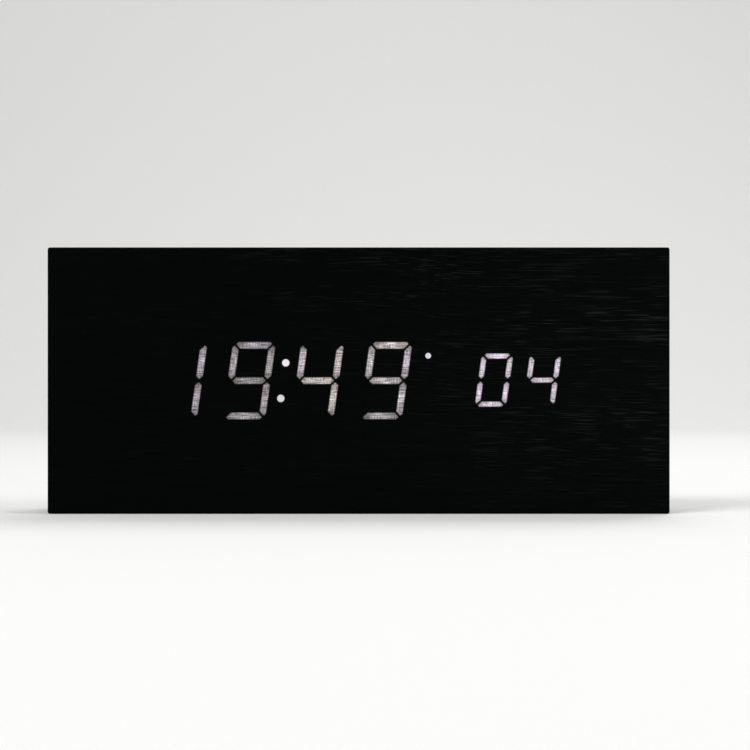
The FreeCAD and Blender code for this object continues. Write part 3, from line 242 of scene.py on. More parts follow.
def open_grain_group():
    """Fine lines and short open strokes along X of the vector it is given."""
    tree, given, result = start_group(
        "open_grain",
        [("Vector", "Vector", None), ("Pores And Sheen", "Float", 1.0)],
        [("Lines", "Float"), ("Strokes", "Float"), ("Height", "Float")],
    )
    wander = noise(tree, given["Vector"], 9.0, 1.0)
    bend = add(tree, "VectorMath", {0: GRAIN_WANDER, "Scale": wander}, operation="SCALE").outputs[0]
    bent = add(tree, "VectorMath", {0: given["Vector"], 1: bend}, operation="ADD").outputs[0]

    def stretched(along, across, shift):
        """The vector, scaled along and across the grain and moved on, so that no two patterns agree."""
        return add(tree, "Mapping", {
            "Vector": bent, "Scale": (along, across, across), "Location": (shift, shift * 1.7, shift * 0.6),
        }).outputs[0]

    lines = ramp(tree, noise(tree, stretched(*GRAIN_LINES), 1.0, 3.0, 0.65), 0.30, 0.75)
    strokes = ramp(tree, noise(tree, stretched(*PORE_STROKES), 1.0, 1.0, 0.4), 0.585, 0.675)
    patches = ramp(tree, noise(tree, stretched(*PORE_PATCHES), 1.0, 2.0, 0.5), 0.37, 0.58)
    strokes = math_node(tree, "MULTIPLY", strokes, patches)
    strokes = math_node(tree, "MULTIPLY", strokes, given["Pores And Sheen"])
    height = math_node(tree, "SUBTRACT", math_node(tree, "MULTIPLY", lines, 0.6), strokes)
    feed(result, {"Lines": lines, "Strokes": strokes, "Height": height})
    return tree


open_grain = open_grain_group()


def use_group(tree, group, inputs):
    """What a node group gives for these inputs."""
    return add(tree, "Group", inputs, node_tree=group).outputs


def bump(tree, height, depth):
    """The normal of a surface with a height of the given depth in metres."""
    return add(tree, "Bump", {"Height": height, "Strength": 1.0, "Distance": depth}).outputs["Normal"]


def place_of(tree, turn=(0.0, 0.0, 0.0), scale=(1.0, 1.0, 1.0), shift=(0.0, 0.0, 0.0)):
    """Object coordinates, turned, scaled and moved."""
    return add(tree, "Mapping", {
        "Vector": add(tree, "TexCoord", {}).outputs["Object"],
        "Rotation": turn, "Scale": scale, "Location": shift,
    }).outputs[0]


def parts_of(tree, vector):
    """The X, Y and Z of a vector."""
    return add(tree, "SeparateXYZ", {0: vector}).outputs


def painted_light_by_place(tree):
    """Painted light on the face: the pale sheen of its pore strokes gathers towards the upper right, and a
    painted lift brightens the black towards the lower right.
    """
    where = parts_of(tree, place_of(tree))
    upper_right = math_node(tree, "ADD", where["X"], math_node(tree, "MULTIPLY", where["Z"], PAINTED_SHEEN_SLANT))
    lower_right = math_node(tree, "SUBTRACT", where["X"], where["Z"])
    return ramp(tree, upper_right, *PAINTED_SHEEN_RISE, LEAST_PAINTED_SHEEN, 1.0), ramp(tree, lower_right, *PAINTED_LIFT_SPAN)


def black_veneer(name, shift, turn=0.0, by_place=False):
    """Black stained veneer; turn brings the way of its grain onto X, and shift picks the piece of wood."""
    made, shader = material(name, BLACK_STAIN, 0.5)
    tree = made.node_tree
    # On the face, the strokes' painted sheen and a painted lift of the black vary by place; on the other
    # sides both stay even.
    painted_sheen, painted_lift = painted_light_by_place(tree) if by_place else (WRAP_SHEEN_AND_LIFT, WRAP_SHEEN_AND_LIFT)
    where = place_of(tree, turn=(0.0, 0.0, turn), shift=shift)
    grain = use_group(tree, open_grain, {"Vector": where, "Pores And Sheen": painted_sheen})
    grain_and_painted_lift = math_node(tree, "MULTIPLY", math_node(tree, "ADD", grain["Lines"], painted_lift), 0.5)
    body = mottled(tree, grain_and_painted_lift, BLACK_STAIN, *STAIN_TONES)
    # The pale grey blended into the strokes is painted sheen; the strokes' shape and bump are the real open
    # pores.
    feed(shader, {
        "Base Color": blend_colours(tree, grain["Strokes"], body, PORE_SHEEN_GREY),
        "Roughness": ramp(tree, grain["Lines"], 0.0, 1.0, *VENEER_ROUGH),
        "Specular IOR Level": VENEER_SHINE,
        "Normal": bump(tree, grain["Height"], PORE_DEPTH),
    })
    return made


def dress(names, finish):
    """Gives each of these CAD nodes its finish."""
    for name in names:
        nodes[name].data.materials.clear()
        nodes[name].data.materials.append(finish)


dress(["front_veneer"], black_veneer("veneer_face", (0.0, 0.0, 0.0), by_place=True))
dress(["case_top"], black_veneer("veneer_top", (0.31, 0.07, 0.11)))
dress(["case_bottom"], black_veneer("veneer_bottom", (0.57, 0.21, 0.05)))
dress(["case_left"], black_veneer("veneer_left_end", (0.83, 0.13, 0.17), turn=-math.pi / 2))
dress(["case_right"], black_veneer("veneer_right_end", (1.07, 0.29, 0.23), turn=-math.pi / 2))


# ---------------------------------------------------------------- the lit areas of the veneer
# White lamps shine through the thin veneer wherever the black film behind it has a window.  The wood
# in front of them breaks the light into fine lines, and each bar fades and warms towards its ends.
BAR_RIM = ((0.00017, 0.48), (0.00022, 1.0))
DOT_RIM = ((0.00014, 0.12), (0.00013, 1.0))
RIM_GLOW = 0.02
CORNER_JOIN = 0.00012
END_FADES = ((0.0, 1.09), (0.14, 0.97), (0.29, 0.79), (0.42, 0.57), (0.50, 0.45))
DIGIT_PITCH = 0.023
DIGIT_LAMPS = (0.305, 0.293, 0.431, 0.437)
SMALL_PITCH = 0.01625
SMALL_LAMPS = (0.584, 0.538)
DOT_LAMPS = (0.805, 0.694, 0.770)
LAMP_SPREAD = 0.08
WEAK_LAMPS = {(3, 0): 0.69, (1, 2): 0.77}
TOP_ROW = 4
LARGE_LIGHT = ((1.10, 0.985, 1.12), (1.10, 0.985, 0.90))
SMALL_LIGHT = ((1.105, 0.965, 1.19), (1.105, 0.965, 1.01))
DOT_LIGHT = ((1.00, 0.95, 1.05), (1.03, 0.97, 1.00))
COOL_SPREAD = 0.30
COOL_MIDDLE = 0.19
LINES_ACROSS = ((240.0, 400.0, 3300.0), 4.0)
LINES_UPRIGHT = ((3100.0, 400.0, 360.0), 2.4)
FINE_SPECKS = ((3000.0, 400.0, 3000.0), 2.2)
DARKEST_SPOT = 0.40
TINT_DRIFT = (300.0, 200.0, 420.0)
UNLIT_WOOD = (0.02, 0.02, 0.022)
lamp_dice = random.Random(12)


def lit_group():
    """Light seen through wood: a strength and a tint that change over the surface."""
    tree, given, result = start_group(
        "light_through_wood",
        [
            ("Vector", "Vector", None), ("Lamp", "Float", 0.4), ("Glow", "Float", 1.0),
            ("Grain", "Float", 1.0), ("Cool", "Float", 0.5),
            ("Cool Light", "Color", None), ("Warm Light", "Color", None),
        ],
        [("Light", "Color")],
    )

    def wavering(fineness, amount=1.0):
        """Noise as fine as this along X, Y and Z, and as far as this above and below nothing."""
        where = add(tree, "Mapping", {"Vector": given["Vector"], "Scale": fineness}).outputs[0]
        centred = math_node(tree, "SUBTRACT", noise(tree, where, 1.0, 1.0), 0.5)
        return math_node(tree, "MULTIPLY", centred, amount)

    grain = math_node(tree, "ADD", wavering(*LINES_ACROSS), wavering(*LINES_UPRIGHT))
    grain = math_node(tree, "ADD", grain, wavering(*FINE_SPECKS))
    grain = math_node(tree, "MULTIPLY", grain, given["Grain"])
    level = math_node(tree, "MAXIMUM", math_node(tree, "ADD", grain, 1.0), DARKEST_SPOT)
    level = math_node(tree, "MULTIPLY", level, given["Lamp"])
    level = math_node(tree, "MULTIPLY", level, given["Glow"])
    cool = math_node(tree, "ADD", given["Cool"], wavering(TINT_DRIFT), clamp=True)
    tint = blend_colours(tree, cool, given["Warm Light"], given["Cool Light"])
    feed(result, {"Light": add(tree, "VectorMath", {0: tint, "Scale": level}, operation="SCALE").outputs[0]})
    return tree


light_through_wood = lit_group()


def lit_material(name, grain, tints):
    """Wood lit from behind; each corner of its mesh says how bright and how cool it is there."""
    made, shader = material(name, UNLIT_WOOD, 0.5)
    tree = made.node_tree
    lamp, glow, cool = (
        add(tree, "Attribute", {}, attribute_name=layer, attribute_type="GEOMETRY").outputs["Fac"]
        for layer in ("lamp", "glow", "cool")
    )
    light = use_group(tree, light_through_wood, {
        "Vector": place_of(tree), "Lamp": lamp, "Glow": glow, "Grain": grain, "Cool": cool,
        "Cool Light": (*tints[0], 1.0), "Warm Light": (*tints[1], 1.0),
    })
    feed(shader, {
        "Emission Color": light["Light"], "Emission Strength": 1.0, "Specular IOR Level": VENEER_SHINE,
    })
    return made


def joined_copy(node):
    """A CAD node's mesh as a bmesh, with its corners joined."""
    bm = bmesh.new()
    bm.from_mesh(nodes[node].data)
    bmesh.ops.remove_doubles(bm, verts=bm.verts, dist=1e-6)
    return bm


def is_front(face):
    return face.normal.y < -0.9


def nearest_face(bm, place):
    return min(bm.faces, key=lambda face: (face.calc_center_bounds() - place).length)


def run_of(face):
    """The way a bar runs, how far along that way its middle lies, and its length."""
    longest = max(face.edges, key=lambda edge: edge.calc_length())
    along = (longest.verts[1].co - longest.verts[0].co).normalized()
    reach = [vert.co.dot(along) for vert in face.verts]
    return along, (min(reach) + max(reach)) / 2, max(reach) - min(reach)


def end_fade(share):
    """How bright a bar is at a share of its length from its middle."""
    for (near, bright), (far, dim) in zip(END_FADES, END_FADES[1:]):
        if share <= far:
            return bright + (dim - bright) * (share - near) / (far - near)
    return END_FADES[-1][1]


def inset(bm, face, thick, is_bar):
    """The face after it shrinks inside a new ring; the crowded corners of a bar are joined into one."""
    bmesh.ops.inset_individual(bm, faces=[face], thickness=thick, use_even_offset=True)
    if not is_bar:
        return face
    middle = face.calc_center_bounds()
    bmesh.ops.remove_doubles(bm, verts=face.verts, dist=CORNER_JOIN)
    return nearest_face(bm, middle)


def front_round(face):
    """This face and every one that joins it in the same front."""
    found, queue = {face}, [face]
    while queue:
        near = {other for edge in queue.pop().edges for other in edge.link_faces if is_front(other)}
        queue += near - found
        found |= near
    return list(found)


def cut_across(bm, area, along, places):
    """The faces of the area after they are cut square to its run at each of these places."""
    for place in places:
        parts = set(area) | {e for f in area for e in f.edges} | {v for f in area for v in f.verts}
        cut = bmesh.ops.bisect_plane(bm, geom=list(parts), plane_co=along * place, plane_no=along)["geom"]
        area = [part for part in cut if isinstance(part, bmesh.types.BMFace)]
    return area


def lit_piece(node, name, lamp_of, tints, rim, grain, fades):
    """A copy of the lit areas whose fronts are inset and cut across, so that each can fade."""
    bm = joined_copy(node)
    bmesh.ops.dissolve_limit(bm, angle_limit=math.radians(1), verts=bm.verts, edges=bm.edges)
    glow, lamp, cool = (bm.verts.layers.float.new(layer) for layer in ("glow", "lamp", "cool"))
    for vert in bm.verts:
        vert[glow] = RIM_GLOW
    cuts = sorted({sign * share for share, bright in END_FADES[:-1] for sign in (-1, 1)})
    for front in [face.calc_center_bounds() for face in bm.faces if is_front(face)]:
        face = nearest_face(bm, front)
        level = lamp_of(face.calc_center_median()) * (1 + LAMP_SPREAD * lamp_dice.uniform(-1, 1))
        coolness = 0.5 + COOL_SPREAD * lamp_dice.uniform(-1, 1)
        along, middle, length = run_of(face)
        for thick, strength in rim:
            face = inset(bm, face, thick, is_bar=fades > 0)
            for vert in face.verts:
                vert[glow] = strength
        area = front_round(face)
        if fades:
            area = cut_across(bm, area, along, [middle + share * length for share in cuts])
        for vert in {v for f in area for v in f.verts}:
            vert[lamp] = level
            vert[cool] = coolness
            if fades:
                share = abs(vert.co.dot(along) - middle) / length
                vert[glow] *= 1 - fades * (1 - end_fade(share))
                vert[cool] += COOL_MIDDLE * (1 - 4 * share)
    many_sided = [face for face in bm.faces if len(face.verts) > 4]
    bmesh.ops.triangulate(bm, faces=many_sided, ngon_method="BEAUTY")
    made = piece_from(bm, name, lit_material(f"{name}_light", grain, tints))
    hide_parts(node)
    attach(made, "case")


def by_digit(node, lamps, pitch, weak):
    """How strong the lamp behind a bar is: each digit has its own strength, and a weak lamp less of it.

    A weak lamp is named by its digit, counted from the left, and its row, counted up from the lowest bar.
    """
    low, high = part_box(node)

    def lamp(centre):
        digit = len(lamps) - 1 - int((high.x - centre.x) / pitch)
        row = round(TOP_ROW * (centre.z - low.z) / (high.z - low.z))
        return lamps[digit] * weak.get((digit, row), 1.0)

    return lamp


def dot_lamp(centre):
    """How strong the lamp behind a dot is: the upper and lower one of the colon, or the one far right."""
    upper, lower, right = DOT_LAMPS
    if centre.x > 0:
        return right
    return upper if centre.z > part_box("front_veneer")[1].z / 2 else lower


time_lamp = by_digit("lit_time_digits", DIGIT_LAMPS, DIGIT_PITCH, WEAK_LAMPS)
small_lamp = by_digit("lit_small_digits", SMALL_LAMPS, SMALL_PITCH, {})
lit_piece(
    "lit_time_digits", "time_digits_glow",
    time_lamp, LARGE_LIGHT, BAR_RIM, grain=1.0, fades=1.0,
)
lit_piece(
    "lit_small_digits", "small_digits_glow",
    small_lamp, SMALL_LIGHT, BAR_RIM, grain=0.7, fades=0.8,
)
lit_piece("lit_dots", "dots_glow", dot_lamp, DOT_LIGHT, DOT_RIM, grain=0.12, fades=0.0)


# ---------------------------------------------------------------- the fibreboard under the veneer
# The face is a panel of pressed fibreboard, and a block of the same board is glued into each corner
# of the case.  The blocks are left bare, and the panel's outer edges are stained black with the veneer.
FIBRE_TAN = (0.42, 0.31, 0.21)
FIBRE_DARK = (0.27, 0.185, 0.115)
FIBRE_PALE = (0.60, 0.48, 0.35)
FIBRE_DEPTH = 0.00018
STAINED_EDGE = 0.0008


def pressed_fibre():
    """Pale fibres over a mottled board, with black stain as far in as STAINED_EDGE from its outline."""
    made, shader = material("pressed_fibre", FIBRE_TAN, 0.85)
    tree = made.node_tree
    where = place_of(tree)
    mottle = noise(tree, where, 260.0, 3.0, 0.6)
    fibre = noise(tree, place_of(tree, scale=(1.0, 0.45, 1.0)), 1900.0, 2.0, 0.6)
    colour = blend_colours(tree, ramp(tree, mottle, 0.35, 0.68), FIBRE_TAN, FIBRE_DARK)
    colour = blend_colours(tree, ramp(tree, fibre, 0.56, 0.76, 0.0, 0.6), colour, FIBRE_PALE)
    low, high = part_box("front_board")
    parts = parts_of(tree, where)
    from_ends = math_node(tree, "SUBTRACT", high.x, math_node(tree, "ABSOLUTE", parts["X"]))
    middle, half = (low.z + high.z) / 2, (high.z - low.z) / 2
    from_middle = math_node(tree, "ABSOLUTE", math_node(tree, "SUBTRACT", parts["Z"], middle))
    inward = math_node(tree, "MINIMUM", from_ends, math_node(tree, "SUBTRACT", half, from_middle))
    stained = math_node(tree, "LESS_THAN", inward, STAINED_EDGE)
    feed(shader, {
        "Base Color": blend_colours(tree, stained, colour, BLACK_STAIN),
        "Roughness": ramp(tree, fibre, 0.3, 0.7, 0.74, 0.94),
        "Normal": bump(tree, fibre, FIBRE_DEPTH),
    })
    return made


dress(["front_board", "corner_blocks"], pressed_fibre())


# ---------------------------------------------------------------- the films and the light mask
# Behind the face lie a black printed film with the windows of the digits, a frosted sheet and a white
# moulded block whose wells keep the light of each bar apart.
FILM_BLACK = (0.018, 0.018, 0.019)
FROST_WHITE = (0.86, 0.86, 0.84)
MASK_WHITE = (0.82, 0.82, 0.80)


def moulded_skin_group():
    """Moulded plastic: a fine sparked skin and the slow unevenness of its gloss."""
    tree, given, result = start_group(
        "moulded_skin",
        [
            ("Vector", "Vector", None), ("Grain", "Float", 2600.0),
            ("Dull", "Float", 0.5), ("Glossy", "Float", 0.4),
        ],
        [("Height", "Float"), ("Roughness", "Float"), ("Flow", "Float")],
    )
    pits = noise(tree, given["Vector"], given["Grain"], 2.0, 0.6)
    flow = noise(tree, given["Vector"], 38.0)
    rough = ramp(tree, flow, 0.35, 0.65, given["Dull"], given["Glossy"])
    rough = math_node(tree, "ADD", rough, ramp(tree, pits, 0.3, 0.7, -0.05, 0.05))
    feed(result, {"Height": ramp(tree, pits, 0.34, 0.66), "Roughness": rough, "Flow": flow})
    return tree


moulded_skin = moulded_skin_group()


def moulded(name, colour, grain, rough, depth, shift=(0.0, 0.0, 0.0)):
    """Moulded plastic: the fineness and depth of its spark texture, and how rough, dull and glossy."""
    made, shader = material(name, colour, rough[0])
    tree = made.node_tree
    skin = use_group(tree, moulded_skin, {
        "Vector": place_of(tree, shift=shift), "Grain": grain, "Dull": rough[0], "Glossy": rough[1],
    })
    feed(shader, {
        "Base Color": mottled(tree, ramp(tree, skin["Flow"], 0.3, 0.7), colour, 0.90, 1.10),
        "Roughness": skin["Roughness"],
        "Normal": bump(tree, skin["Height"], depth),
    })
    return made


printed_film = moulded("printed_film", FILM_BLACK, grain=900.0, rough=(0.42, 0.34), depth=0.000004)
frosted_film = moulded("frosted_film", FROST_WHITE, grain=3400.0, rough=(0.72, 0.62), depth=0.00002)
mask_moulding = moulded("mask_moulding", MASK_WHITE, grain=1700.0, rough=(0.44, 0.36), depth=0.00001)
dress(["segment_stencil"], printed_film)
dress(["diffuser_sheet"], frosted_film)
dress(["light_mask"], mask_moulding)


# ---------------------------------------------------------------- the circuit boards
# Both boards are glass epoxy with copper tracks under a green solder mask.  The raised tracks show
# paler through it, and the sawn edges are bare.
MASK_GREEN = (0.012, 0.105, 0.040)
TRACK_GREEN = (0.035, 0.205, 0.085)
EDGE_TAN = (0.36, 0.33, 0.16)
TRACK_PITCH = 0.0013
TRACK_DEPTH = 0.00003
LONG_RUN = 0.019
SHORT_RUN = 0.0085
BARE_SHARE = 0.52


def copper_tracks_group():
    """Straight runs of track on a square pitch, broken up by patches, seen across the board's face."""
    tree, given, result = start_group(
        "copper_tracks",
        [("Vector", "Vector", None), ("Pitch", "Float", TRACK_PITCH)],
        [("Tracks", "Float"), ("Weave", "Float")],
    )
    parts = parts_of(tree, given["Vector"])

    def runs(across, along, cell, seed):
        """Lines at each pitch of one axis, kept only in the cells that a random value picks."""
        step = math_node(tree, "DIVIDE", across, given["Pitch"])
        place = math_node(tree, "SUBTRACT", math_node(tree, "FRACT", step), 0.5)
        line = ramp(tree, math_node(tree, "ABSOLUTE", place), 0.16, 0.20, 1.0, 0.0)
        picked = add(tree, "TexWhiteNoise", {
            "Vector": add(tree, "CombineXYZ", {
                "X": math_node(tree, "FLOOR", step),
                "Y": math_node(tree, "FLOOR", math_node(tree, "DIVIDE", along, cell)),
                "Z": seed,
            }).outputs[0],
        }, noise_dimensions="3D").outputs["Value"]
        return math_node(tree, "MULTIPLY", line, math_node(tree, "GREATER_THAN", picked, BARE_SHARE))

    long_runs = runs(parts["Z"], parts["X"], LONG_RUN, 3.0)
    short_runs = runs(parts["X"], parts["Z"], SHORT_RUN, 8.0)
    feed(result, {
        "Tracks": math_node(tree, "MAXIMUM", long_runs, short_runs),
        "Weave": noise(tree, given["Vector"], 900.0),
    })
    return tree


copper_tracks = copper_tracks_group()


def board_mask(name, shift):
    """Green mask on the two faces of a board; the sawn edges show the glass epoxy."""
    made, shader = material(name, MASK_GREEN, 0.3)
    tree = made.node_tree
    tracks = use_group(tree, copper_tracks, {"Vector": place_of(tree, shift=shift)})
    body = mottled(tree, tracks["Weave"], MASK_GREEN, 0.8, 1.2)
    body = blend_colours(tree, tracks["Tracks"], body, TRACK_GREEN)
    facing = parts_of(tree, add(tree, "TexCoord", {}).outputs["Normal"])["Y"]
    on_edge = math_node(tree, "LESS_THAN", math_node(tree, "ABSOLUTE", facing), 0.5)
    feed(shader, {
        "Base Color": blend_colours(tree, on_edge, body, EDGE_TAN),
        "Roughness": ramp(tree, on_edge, 0.0, 1.0, 0.28, 0.8),
        "Normal": bump(tree, tracks["Tracks"], TRACK_DEPTH),
    })
    return made


dress(["display_board"], board_mask("display_board_mask", (0.0, 0.0, 0.0)))
dress(["control_board"], board_mask("control_board_mask", (0.037, 0.0, 0.011)))


# ---------------------------------------------------------------- the lamps on the display board
# Each lamp is a small white ceramic frame round a window of yellow phosphor, soldered to the face of
# the display board behind its well.
LAMP_FRAME = (0.84, 0.83, 0.78)
PHOSPHOR = (0.86, 0.66, 0.12)
WINDOW_SHARE = 0.72
WINDOW_STAND = 0.00004
WINDOW_ROUND = 0.00018


def loose_boxes(node):
    """The lowest and highest corner of each loose part of a CAD node, from left to right."""
    bm = joined_copy(node)
    left, found = set(bm.verts), []
    while left:
        queue, part = [left.pop()], []
        while queue:
            vert = queue.pop()
            part.append(vert.co.copy())
            near = [edge.other_vert(vert) for edge in vert.link_edges]
            queue += [other for other in near if other in left]
            left.difference_update(near)
        low = Vector(min(co[i] for co in part) for i in range(3))
        high = Vector(max(co[i] for co in part) for i in range(3))
        found.append((low, high))
    bm.free()
    return sorted(found, key=lambda box: (round(box[0].x, 5), round(box[0].z, 5)))


def phosphor_resin():
    """Yellow resin full of fine grains of phosphor, clear and glossy on top."""
    made, shader = material("phosphor_resin", PHOSPHOR, 0.25)
    tree = made.node_tree
    grains = ramp(tree, noise(tree, place_of(tree), 9000.0), 0.3, 0.7)
    feed(shader, {"Base Color": mottled(tree, grains, PHOSPHOR, 0.88, 1.12), "Coat Weight": 0.5})
    return made


def lamp_windows(node, finish):
    """A shallow rounded pane over the middle of every lamp."""
    bm = bmesh.new()
    for low, high in loose_boxes(node):
        pane = bmesh.ops.create_grid(bm, x_segments=1, y_segments=1, size=0.5)["verts"]
        size = (high - low) * WINDOW_SHARE
        bmesh.ops.scale(bm, verts=pane, vec=(size.x, size.z, 1.0))
        bmesh.ops.rotate(bm, verts=pane, matrix=Matrix.Rotation(math.pi / 2, 3, "X"))
        middle = (low + high) / 2
        bmesh.ops.translate(bm, verts=pane, vec=(middle.x, low.y, middle.z))
    bmesh.ops.bevel(
        bm, geom=list(bm.verts), offset=WINDOW_ROUND, affect="VERTICES", segments=2, profile=0.5, material=-1
    )
    grown = bmesh.ops.extrude_face_region(bm, geom=list(bm.faces))["geom"]
    bmesh.ops.translate(bm, verts=corners_in(grown), vec=(0, -WINDOW_STAND, 0))
    bmesh.ops.recalc_face_normals(bm, faces=bm.faces)
    made = piece_from(bm, f"{node}_windows", finish)
    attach(made, "case")


lamp_nodes = ["display_leds_time", "display_leds_small", "display_leds_dots"]
lamp_ceramic = moulded("lamp_ceramic", LAMP_FRAME, grain=5200.0, rough=(0.46, 0.38), depth=0.000006)
dress(lamp_nodes, lamp_ceramic)
phosphor = phosphor_resin()
for lamp_node in lamp_nodes:
    lamp_windows(lamp_node, phosphor)


# ---------------------------------------------------------------- the chips and small parts
# The clock chip and the drivers are black epoxy blocks on rows of bent tinned legs.  Beside them are
# drawn cans, a watch crystal and a row of chip resistors.
EPOXY_BLACK = (0.022, 0.022, 0.024)
GLAZE_BLACK = (0.016, 0.016, 0.020)
CAN_SILVER = (0.66, 0.66, 0.67)
TIN = (0.62, 0.61, 0.60)
DRAWN_LINES = (60.0, 5200.0, 5200.0)
LEG_PITCH = 0.00127
LEG_WIDTH = 0.00042
LEG_THICK = 0.00015
LEG_REACH = (0.00045, 0.00025, 0.00055)
LEG_WAIST = 0.45


def drawn_metal_group():
    """Metal that was drawn or rolled: fine lines along X of the vector, and faint handling marks."""
    tree, given, result = start_group(
        "drawn_metal",
        [("Vector", "Vector", None), ("Rough", "Float", 0.25)],
        [("Roughness", "Float"), ("Height", "Float"), ("Tone", "Float")],
    )
    drawn = add(tree, "Mapping", {"Vector": given["Vector"], "Scale": DRAWN_LINES}).outputs[0]
    lines = noise(tree, drawn, 1.0, 2.0, 0.6)
    marks = noise(tree, given["Vector"], 420.0, 3.0, 0.6)
    rough = math_node(tree, "ADD", given["Rough"], ramp(tree, marks, 0.35, 0.75, -0.05, 0.14))
    rough = math_node(tree, "ADD", rough, ramp(tree, lines, 0.3, 0.7, -0.03, 0.03))
    feed(result, {"Roughness": rough, "Height": lines, "Tone": marks})
    return tree


drawn_metal = drawn_metal_group()


def metal(name, colour, rough, depth, turn=(0.0, 0.0, 0.0)):
    """Bare or plated metal: how rough, and how deep its lines; turn brings the way of them onto X."""
    made, shader = material(name, colour, rough, metallic=1.0)
    tree = made.node_tree
    worked = use_group(tree, drawn_metal, {"Vector": place_of(tree, turn=turn), "Rough": rough})
    feed(shader, {
        "Base Color": mottled(tree, ramp(tree, worked["Tone"], 0.3, 0.75), colour, 1.08, 0.86),
        "Roughness": worked["Roughness"],
        "Normal": bump(tree, worked["Height"], depth),
    })
    return made


tinned = metal("tinned_leg", TIN, rough=0.30, depth=0.000004)
drawn_can = metal("drawn_can", CAN_SILVER, rough=0.24, depth=0.000006, turn=(0.0, 0.0, math.pi / 2))
epoxy_block = moulded("epoxy_block", EPOXY_BLACK, grain=4200.0, rough=(0.62, 0.52), depth=0.00001)
resistor_glaze = moulded("resistor_glaze", GLAZE_BLACK, grain=3000.0, rough=(0.28, 0.20), depth=0.000004)
dress(["clock_chip", "driver_chips"], epoxy_block)
dress(["chip_resistors"], resistor_glaze)
dress(["board_capacitors", "watch_crystal"], drawn_can)


def chip_legs():
    """Strips of leg are pushed out of each long side of a chip, down to the board and out again."""
    bm = bmesh.new()
    for low, high in loose_boxes("clock_chip") + loose_boxes("driver_chips"):
        count = int((high.x - low.x - LEG_PITCH) / LEG_PITCH) + 1
        start = (low.x + high.x) / 2 - LEG_PITCH * (count - 1) / 2
        waist = low.y + (high.y - low.y) * LEG_WAIST
        for side, z in ((-1, low.z), (1, high.z)):
            path = [
                (LEG_REACH[0] * side, 0.0),
                (LEG_REACH[1] * side, low.y + LEG_THICK / 2 - waist),
                (LEG_REACH[2] * side, 0.0),
            ]
            for i in range(count):
                x = start + LEG_PITCH * i
                ends = [bm.verts.new((x + LEG_WIDTH / 2 * s, waist, z)) for s in (-side, side)]
                edge = bm.edges.new(ends)
                for out, drop in path:
                    moved = corners_in(bmesh.ops.extrude_edge_only(bm, edges=[edge])["geom"])
                    bmesh.ops.translate(bm, verts=moved, vec=(0, drop, out))
                    edge = bm.edges.get(moved)
    bmesh.ops.recalc_face_normals(bm, faces=bm.faces)
    bmesh.ops.solidify(bm, geom=list(bm.faces), thickness=LEG_THICK)
    bmesh.ops.recalc_face_normals(bm, faces=bm.faces)
    made = piece_from(bm, "chip_legs", tinned)
    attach(made, "case")


chip_legs()


# ---------------------------------------------------------------- the ribbon between the boards
# Two white moulded headers joined by a flat grey ribbon, whose wires show as fine ribs along it.
HEADER_WHITE = (0.78, 0.77, 0.72)
RIBBON_GREY = (0.33, 0.335, 0.345)
# The colour of the painted shade between the wires.
RIBBON_GROOVE_SHADE = (0.18, 0.185, 0.19)
WIRE_PITCH = 0.00127
WIRE_DEPTH = 0.0002


def ribbon_skin():
    """Grey insulation with a round back over each wire, and painted shade in the hollow between two."""
    made, shader = material("ribbon_skin", RIBBON_GREY, 0.45)
    tree = made.node_tree
    where = place_of(tree)
    turn = math_node(tree, "MULTIPLY", parts_of(tree, where)["Z"], math.pi / WIRE_PITCH)
    rib = math_node(tree, "ABSOLUTE", math_node(tree, "COSINE", turn))
    # Painted shade: the insulation is darkened in the hollow between two wires.
    groove_shade = ramp(tree, rib, 0.0, 0.35, 1.0, 0.0)
    dust = noise(tree, where, 320.0)
    body = mottled(tree, ramp(tree, dust, 0.3, 0.7), RIBBON_GREY, 0.92, 1.08)
    feed(shader, {
        "Base Color": blend_colours(tree, groove_shade, body, RIBBON_GROOVE_SHADE),
        "Roughness": ramp(tree, dust, 0.3, 0.7, 0.40, 0.52),
        "Normal": bump(tree, rib, WIRE_DEPTH),
    })
    return made


dress(["ribbon_cable"], ribbon_skin())
header_moulding = moulded("header_moulding", HEADER_WHITE, grain=2400.0, rough=(0.42, 0.34), depth=0.000008)
dress(["ribbon_header_display", "ribbon_header_control"], header_moulding)


# ---------------------------------------------------------------- the parts of the control board
# Three push switches, a buzzer, a microphone with a felt face, a temperature probe on two wires and
# the power socket, all soldered to the board so that they line up with the openings of the cover.
SWITCH_BLACK = (0.020, 0.020, 0.022)
PLUNGER_GREY = (0.055, 0.055, 0.058)
BUZZER_BLACK = (0.018, 0.018, 0.019)
BEAD_BLACK = (0.030, 0.030, 0.034)
FELT_BLACK = (0.010, 0.010, 0.011)
FELT_SHARE = 0.86
FELT_THICK = 0.0003
FELT_ROUND = 0.0001
FELT_NAP = 0.00015
SOCKET_PADS = 5
PAD_GOLD = (0.80, 0.58, 0.26)
PAD_WIDTH_SHARE = 0.55
PAD_LENGTH_SHARE = 0.5
PAD_THICK = 0.00005

switch_body = moulded("switch_body", SWITCH_BLACK, grain=3600.0, rough=(0.48, 0.38), depth=0.000008)
plunger_body = moulded("plunger_moulding", PLUNGER_GREY, grain=2800.0, rough=(0.34, 0.26), depth=0.000006)
buzzer_shell = moulded("buzzer_shell", BUZZER_BLACK, grain=2600.0, rough=(0.40, 0.32), depth=0.00001)
socket_resin = moulded("socket_resin", SWITCH_BLACK, grain=3000.0, rough=(0.46, 0.36), depth=0.000006)
probe_resin = moulded("probe_resin", BEAD_BLACK, grain=900.0, rough=(0.24, 0.16), depth=0.00004)
dress(["tact_switch_set", "tact_switch_up", "tact_switch_down"], switch_body)
dress(["switch_plunger_set", "switch_plunger_up", "switch_plunger_down"], plunger_body)
dress(["alarm_buzzer"], buzzer_shell)
dress(["sound_microphone", "usb_socket_shell"], drawn_can)
dress(["usb_socket_tongue"], socket_resin)
dress(["temperature_probe"], probe_resin)


